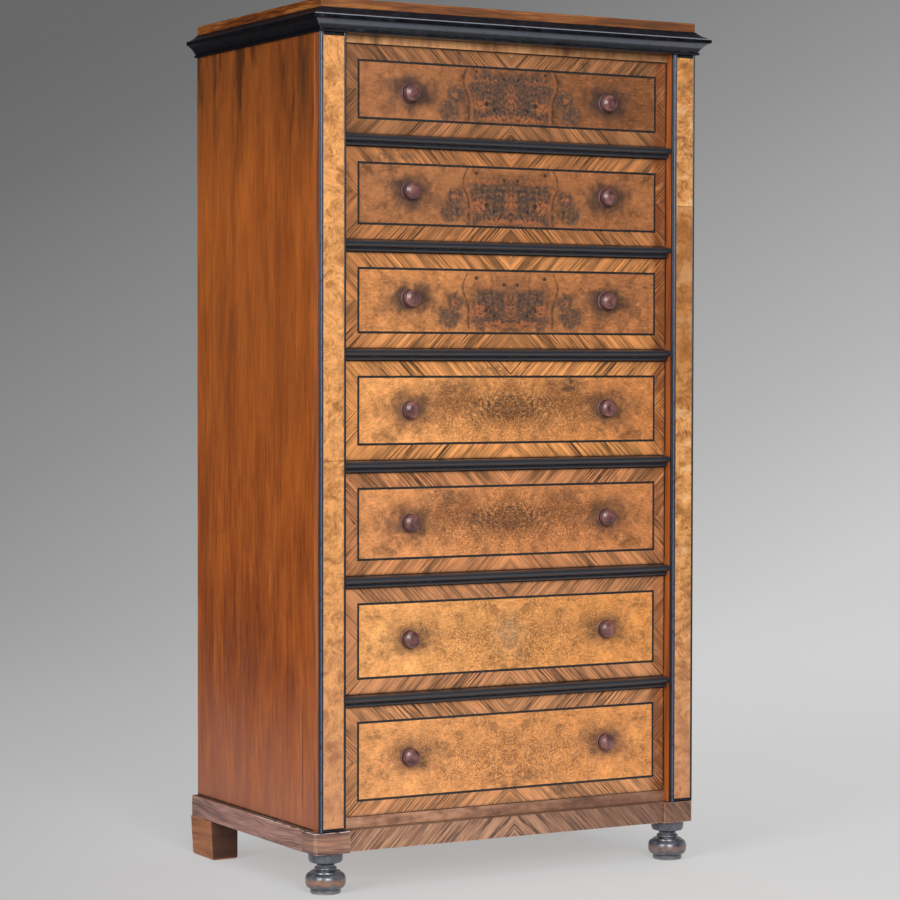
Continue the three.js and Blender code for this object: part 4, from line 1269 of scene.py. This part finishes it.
def foot_profile(height, taper):
    """taper is how far the collar's lower edge has been rounded away."""
    sole = PAD[0] - PAD_EASE
    bun_foot = PAD[1] + FOOT_QUIRK
    ring_foot = bun_foot + BUN[1]
    ring_top = ring_foot + RING[1]
    torus_foot = ring_top + WAIST_HEIGHT
    torus_top = torus_foot + TORUS[1]
    cove_foot = torus_top + FOOT_NECK[1]
    lip_foot = cove_foot + FOOT_COVE
    profile = [(0, 0), (sole, 0)]
    profile += bow(profile[-1], (PAD[0], 0), (PAD[0], PAD[1] / 2), 6)
    profile += [(PAD[0], PAD[1]), (PAD[0] - FOOT_QUIRK, bun_foot)]
    profile += bow(profile[-1], (BUN[0], bun_foot), (BUN[0], bun_foot + BUN[1] / 2), 12)
    profile += bow(profile[-1], (BUN[0], ring_foot - FOOT_QUIRK), (BUN_WAIST, ring_foot), 12)
    profile += [(RING[0], ring_top), (FOOT_NECK[0], ring_top), (FOOT_NECK[0], torus_foot)]
    profile += bow(profile[-1], (TORUS[0], torus_foot), (TORUS[0], (torus_foot + torus_top) / 2), 6)
    profile += bow(profile[-1], (TORUS[0], torus_top), (FOOT_NECK[0], torus_top), 6)
    profile.append((FOOT_NECK[0], cove_foot))
    profile += bow(profile[-1], (FOOT_NECK[0], lip_foot - FOOT_QUIRK), (FOOT_LIP, lip_foot), 12)
    worn_to = lip_foot + COLLAR[1] + taper
    profile += bow(profile[-1], (COLLAR[0], lip_foot + taper * 0.3), (COLLAR[0], worn_to), 8)
    profile += [(COLLAR[0], height - FOOT_QUIRK), (COLLAR[0] - FOOT_QUIRK, height), (0, height)]
    return profile


def foot_finish(name, seed, wear):
    wood = Finish(name)
    rub = ebony(wood, seed, 0.3)
    # Painted sheen: bluish-grey patches over the black, partly a stain faded to grey.
    wood.lay(rub.fade(0.36, 0.6) * 0.7, (92, 94, 106))
    scrape = wood.noise((wood.x, wood.y, wood.z * 5 + seed), 60, 4, 0.65)
    widest = PAD[1] + BUN[1] / 2
    belly = abs(wood.z - widest + (scrape - 0.5) * 0.014).fade(0.009, 0.001) * scrape.fade(0.3, 0.6)
    wood.lay(belly * wear, (140, 92, 62))
    edges = wood.rubbed(0.0015) * scrape.fade(0.4, 0.65)
    wood.lay(edges * wear * 0.8, (128, 96, 76))
    sole = wood.z.fade(0.006, 0.001) * scrape.fade(0.35, 0.6)
    wood.lay(sole * wear * 0.7, (150, 132, 116))
    return wood.done(rub * 0.24 + 0.22, scrape, 0.0002, coat=0.4, shine=0.8)


for side, seed, wear, taper in (("left", 2.0, 0.95, 6 * MM), ("right", 9.0, 0.6, 10 * MM)):
    node = f"front_foot_{side}"
    low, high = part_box(node)
    foot_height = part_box(f"plinth_block_{side}")[0].z - SEAT_GAP
    sole = ((low.x + high.x) / 2, (low.y + high.y) / 2, 0)
    foot = new_piece(
        f"turned_foot_{side}",
        lambda shape: turned(shape, foot_profile(foot_height, taper), sole, (0, 0, 1), 72),
        foot_finish(f"ebonised_foot_{side}", seed, wear), "carcass", SMOOTH_BELOW,
    )
    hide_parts(node)
print("feet are", round(foot_height * 1000, 1), "mm high")

# %% [markdown]
# The chest stands in a studio: a pale floor that rises into a wall on every side in one
# smooth curve, so no line shows behind the object. The paper glows, and its grey is painted
# light: lightest on the floor, darker up the wall, and a little lighter on one side, all round
# the room. In front of the chest the paper glows only towards the camera, so it does not light
# the chest: there it only looks lit.

# %% Backdrop
FLOOR_RADIUS = 6.0
BEND_RADIUS = 4.0
WALL_TOP = 9.0
PAPER_GLOW = 0.57


def backdrop_profile():
    bend = round_off((FLOOR_RADIUS, BEND_RADIUS), BEND_RADIUS, -90, 0, 24)
    return [(0, 0), *bend, (FLOOR_RADIUS + BEND_RADIUS, WALL_TOP)]


def backdrop_finish():
    wood = Finish("studio_paper")
    away = wood.add("ShaderNodeVectorMath", operation="LENGTH")
    wood.feed(away.inputs[0], wood.spot(wood.x, wood.y, 0.0))
    across = wood.x * 0.87 - wood.y * 0.49
    slope = across * 1.32 + (0.9 - wood.z) * 2.6
    light = slope.through("DIVIDE", Field(wood, away.outputs["Value"]) + 5.2) + 0.465
    greys = ((0.0, 105), (0.1, 113), (0.37, 147), (0.64, 182), (0.83, 208), (1.0, 214))
    # Painted light: the paper's grey falls off up the wall and towards one side.
    painted_light_grey = wood.ramp(light, *[(stop, (grey, grey, grey)) for stop, grey in greys])
    glow = wood.y.fade(-1.0, 3.0) * 0.14 + wood.x.fade(0.0, 4.0) * 0.05 + PAPER_GLOW
    flagged = wood.y.fade(-1.3, -3.0) * 0.93
    seen = Field(wood, wood.add("ShaderNodeLightPath").outputs["Is Camera Ray"])
    strength = glow * (1 - flagged) + flagged * seen * 0.95
    wood.feed(wood.shader.inputs["Emission Color"], painted_light_grey)
    wood.feed(wood.shader.inputs["Emission Strength"], strength)
    fibres = wood.noise(wood.place, 3.0, 4)
    wood.colour = wood.mix((1 - flagged) * (1 - PAPER_GLOW), (0, 0, 0), painted_light_grey)
    return wood.done(0.85, fibres, 0.0005)


paper = solid(
    "studio_floor", lambda shape: turned(shape, backdrop_profile(), (0, 0, 0), (0, 0, 1), 96),
    backdrop_finish(), math.pi,
)
print("studio is", 2 * (FLOOR_RADIUS + BEND_RADIUS), "metres across")

# %% [markdown]
# Furniture is lit softly. A big light high on the left is the window: it draws the spot on each
# knob and the cool line down the black beads, which is painted on as well. A second one stands in
# front, beside the camera, and fills the drawer fronts. A weak one overhead and a faint even light
# from all round keep the shadows open.

# %% Lights
def soft_light(name, place, target, size, power, colour):
    data = bpy.data.lights.new(name, "AREA")
    data.shape = "RECTANGLE"
    data.size, data.size_y = size
    data.energy = power
    data.color = colour
    light = bpy.data.objects.new(name, data)
    bpy.context.scene.collection.objects.link(light)
    aim = Vector(target) - Vector(place)
    light.matrix_world = Matrix.Translation(place) @ aim.to_track_quat("-Z", "Y").to_matrix().to_4x4()
    return light


soft_light("window_left", (-4.6, -2.4, 2.4), (0, 0, 0.8), (2.2, 3.0), 190, (0.93, 0.96, 1.0))
soft_light("front_fill", (-1.6, -6.2, 2.6), (0, 0, 0.8), (2.6, 2.6), 330, (1.0, 0.99, 0.97))
soft_light("overhead", (0.4, 0.6, 5.4), (0, 0, 0), (4.0, 4.0), 60, (1.0, 1.0, 1.0))

world = bpy.data.worlds.new("room")
world.use_nodes = True
world.node_tree.nodes["Background"].inputs["Color"].default_value = (1, 1, 1, 1)
world.node_tree.nodes["Background"].inputs["Strength"].default_value = 0.35
bpy.context.scene.world = world
print("lights:", [light.name for light in bpy.data.lights])
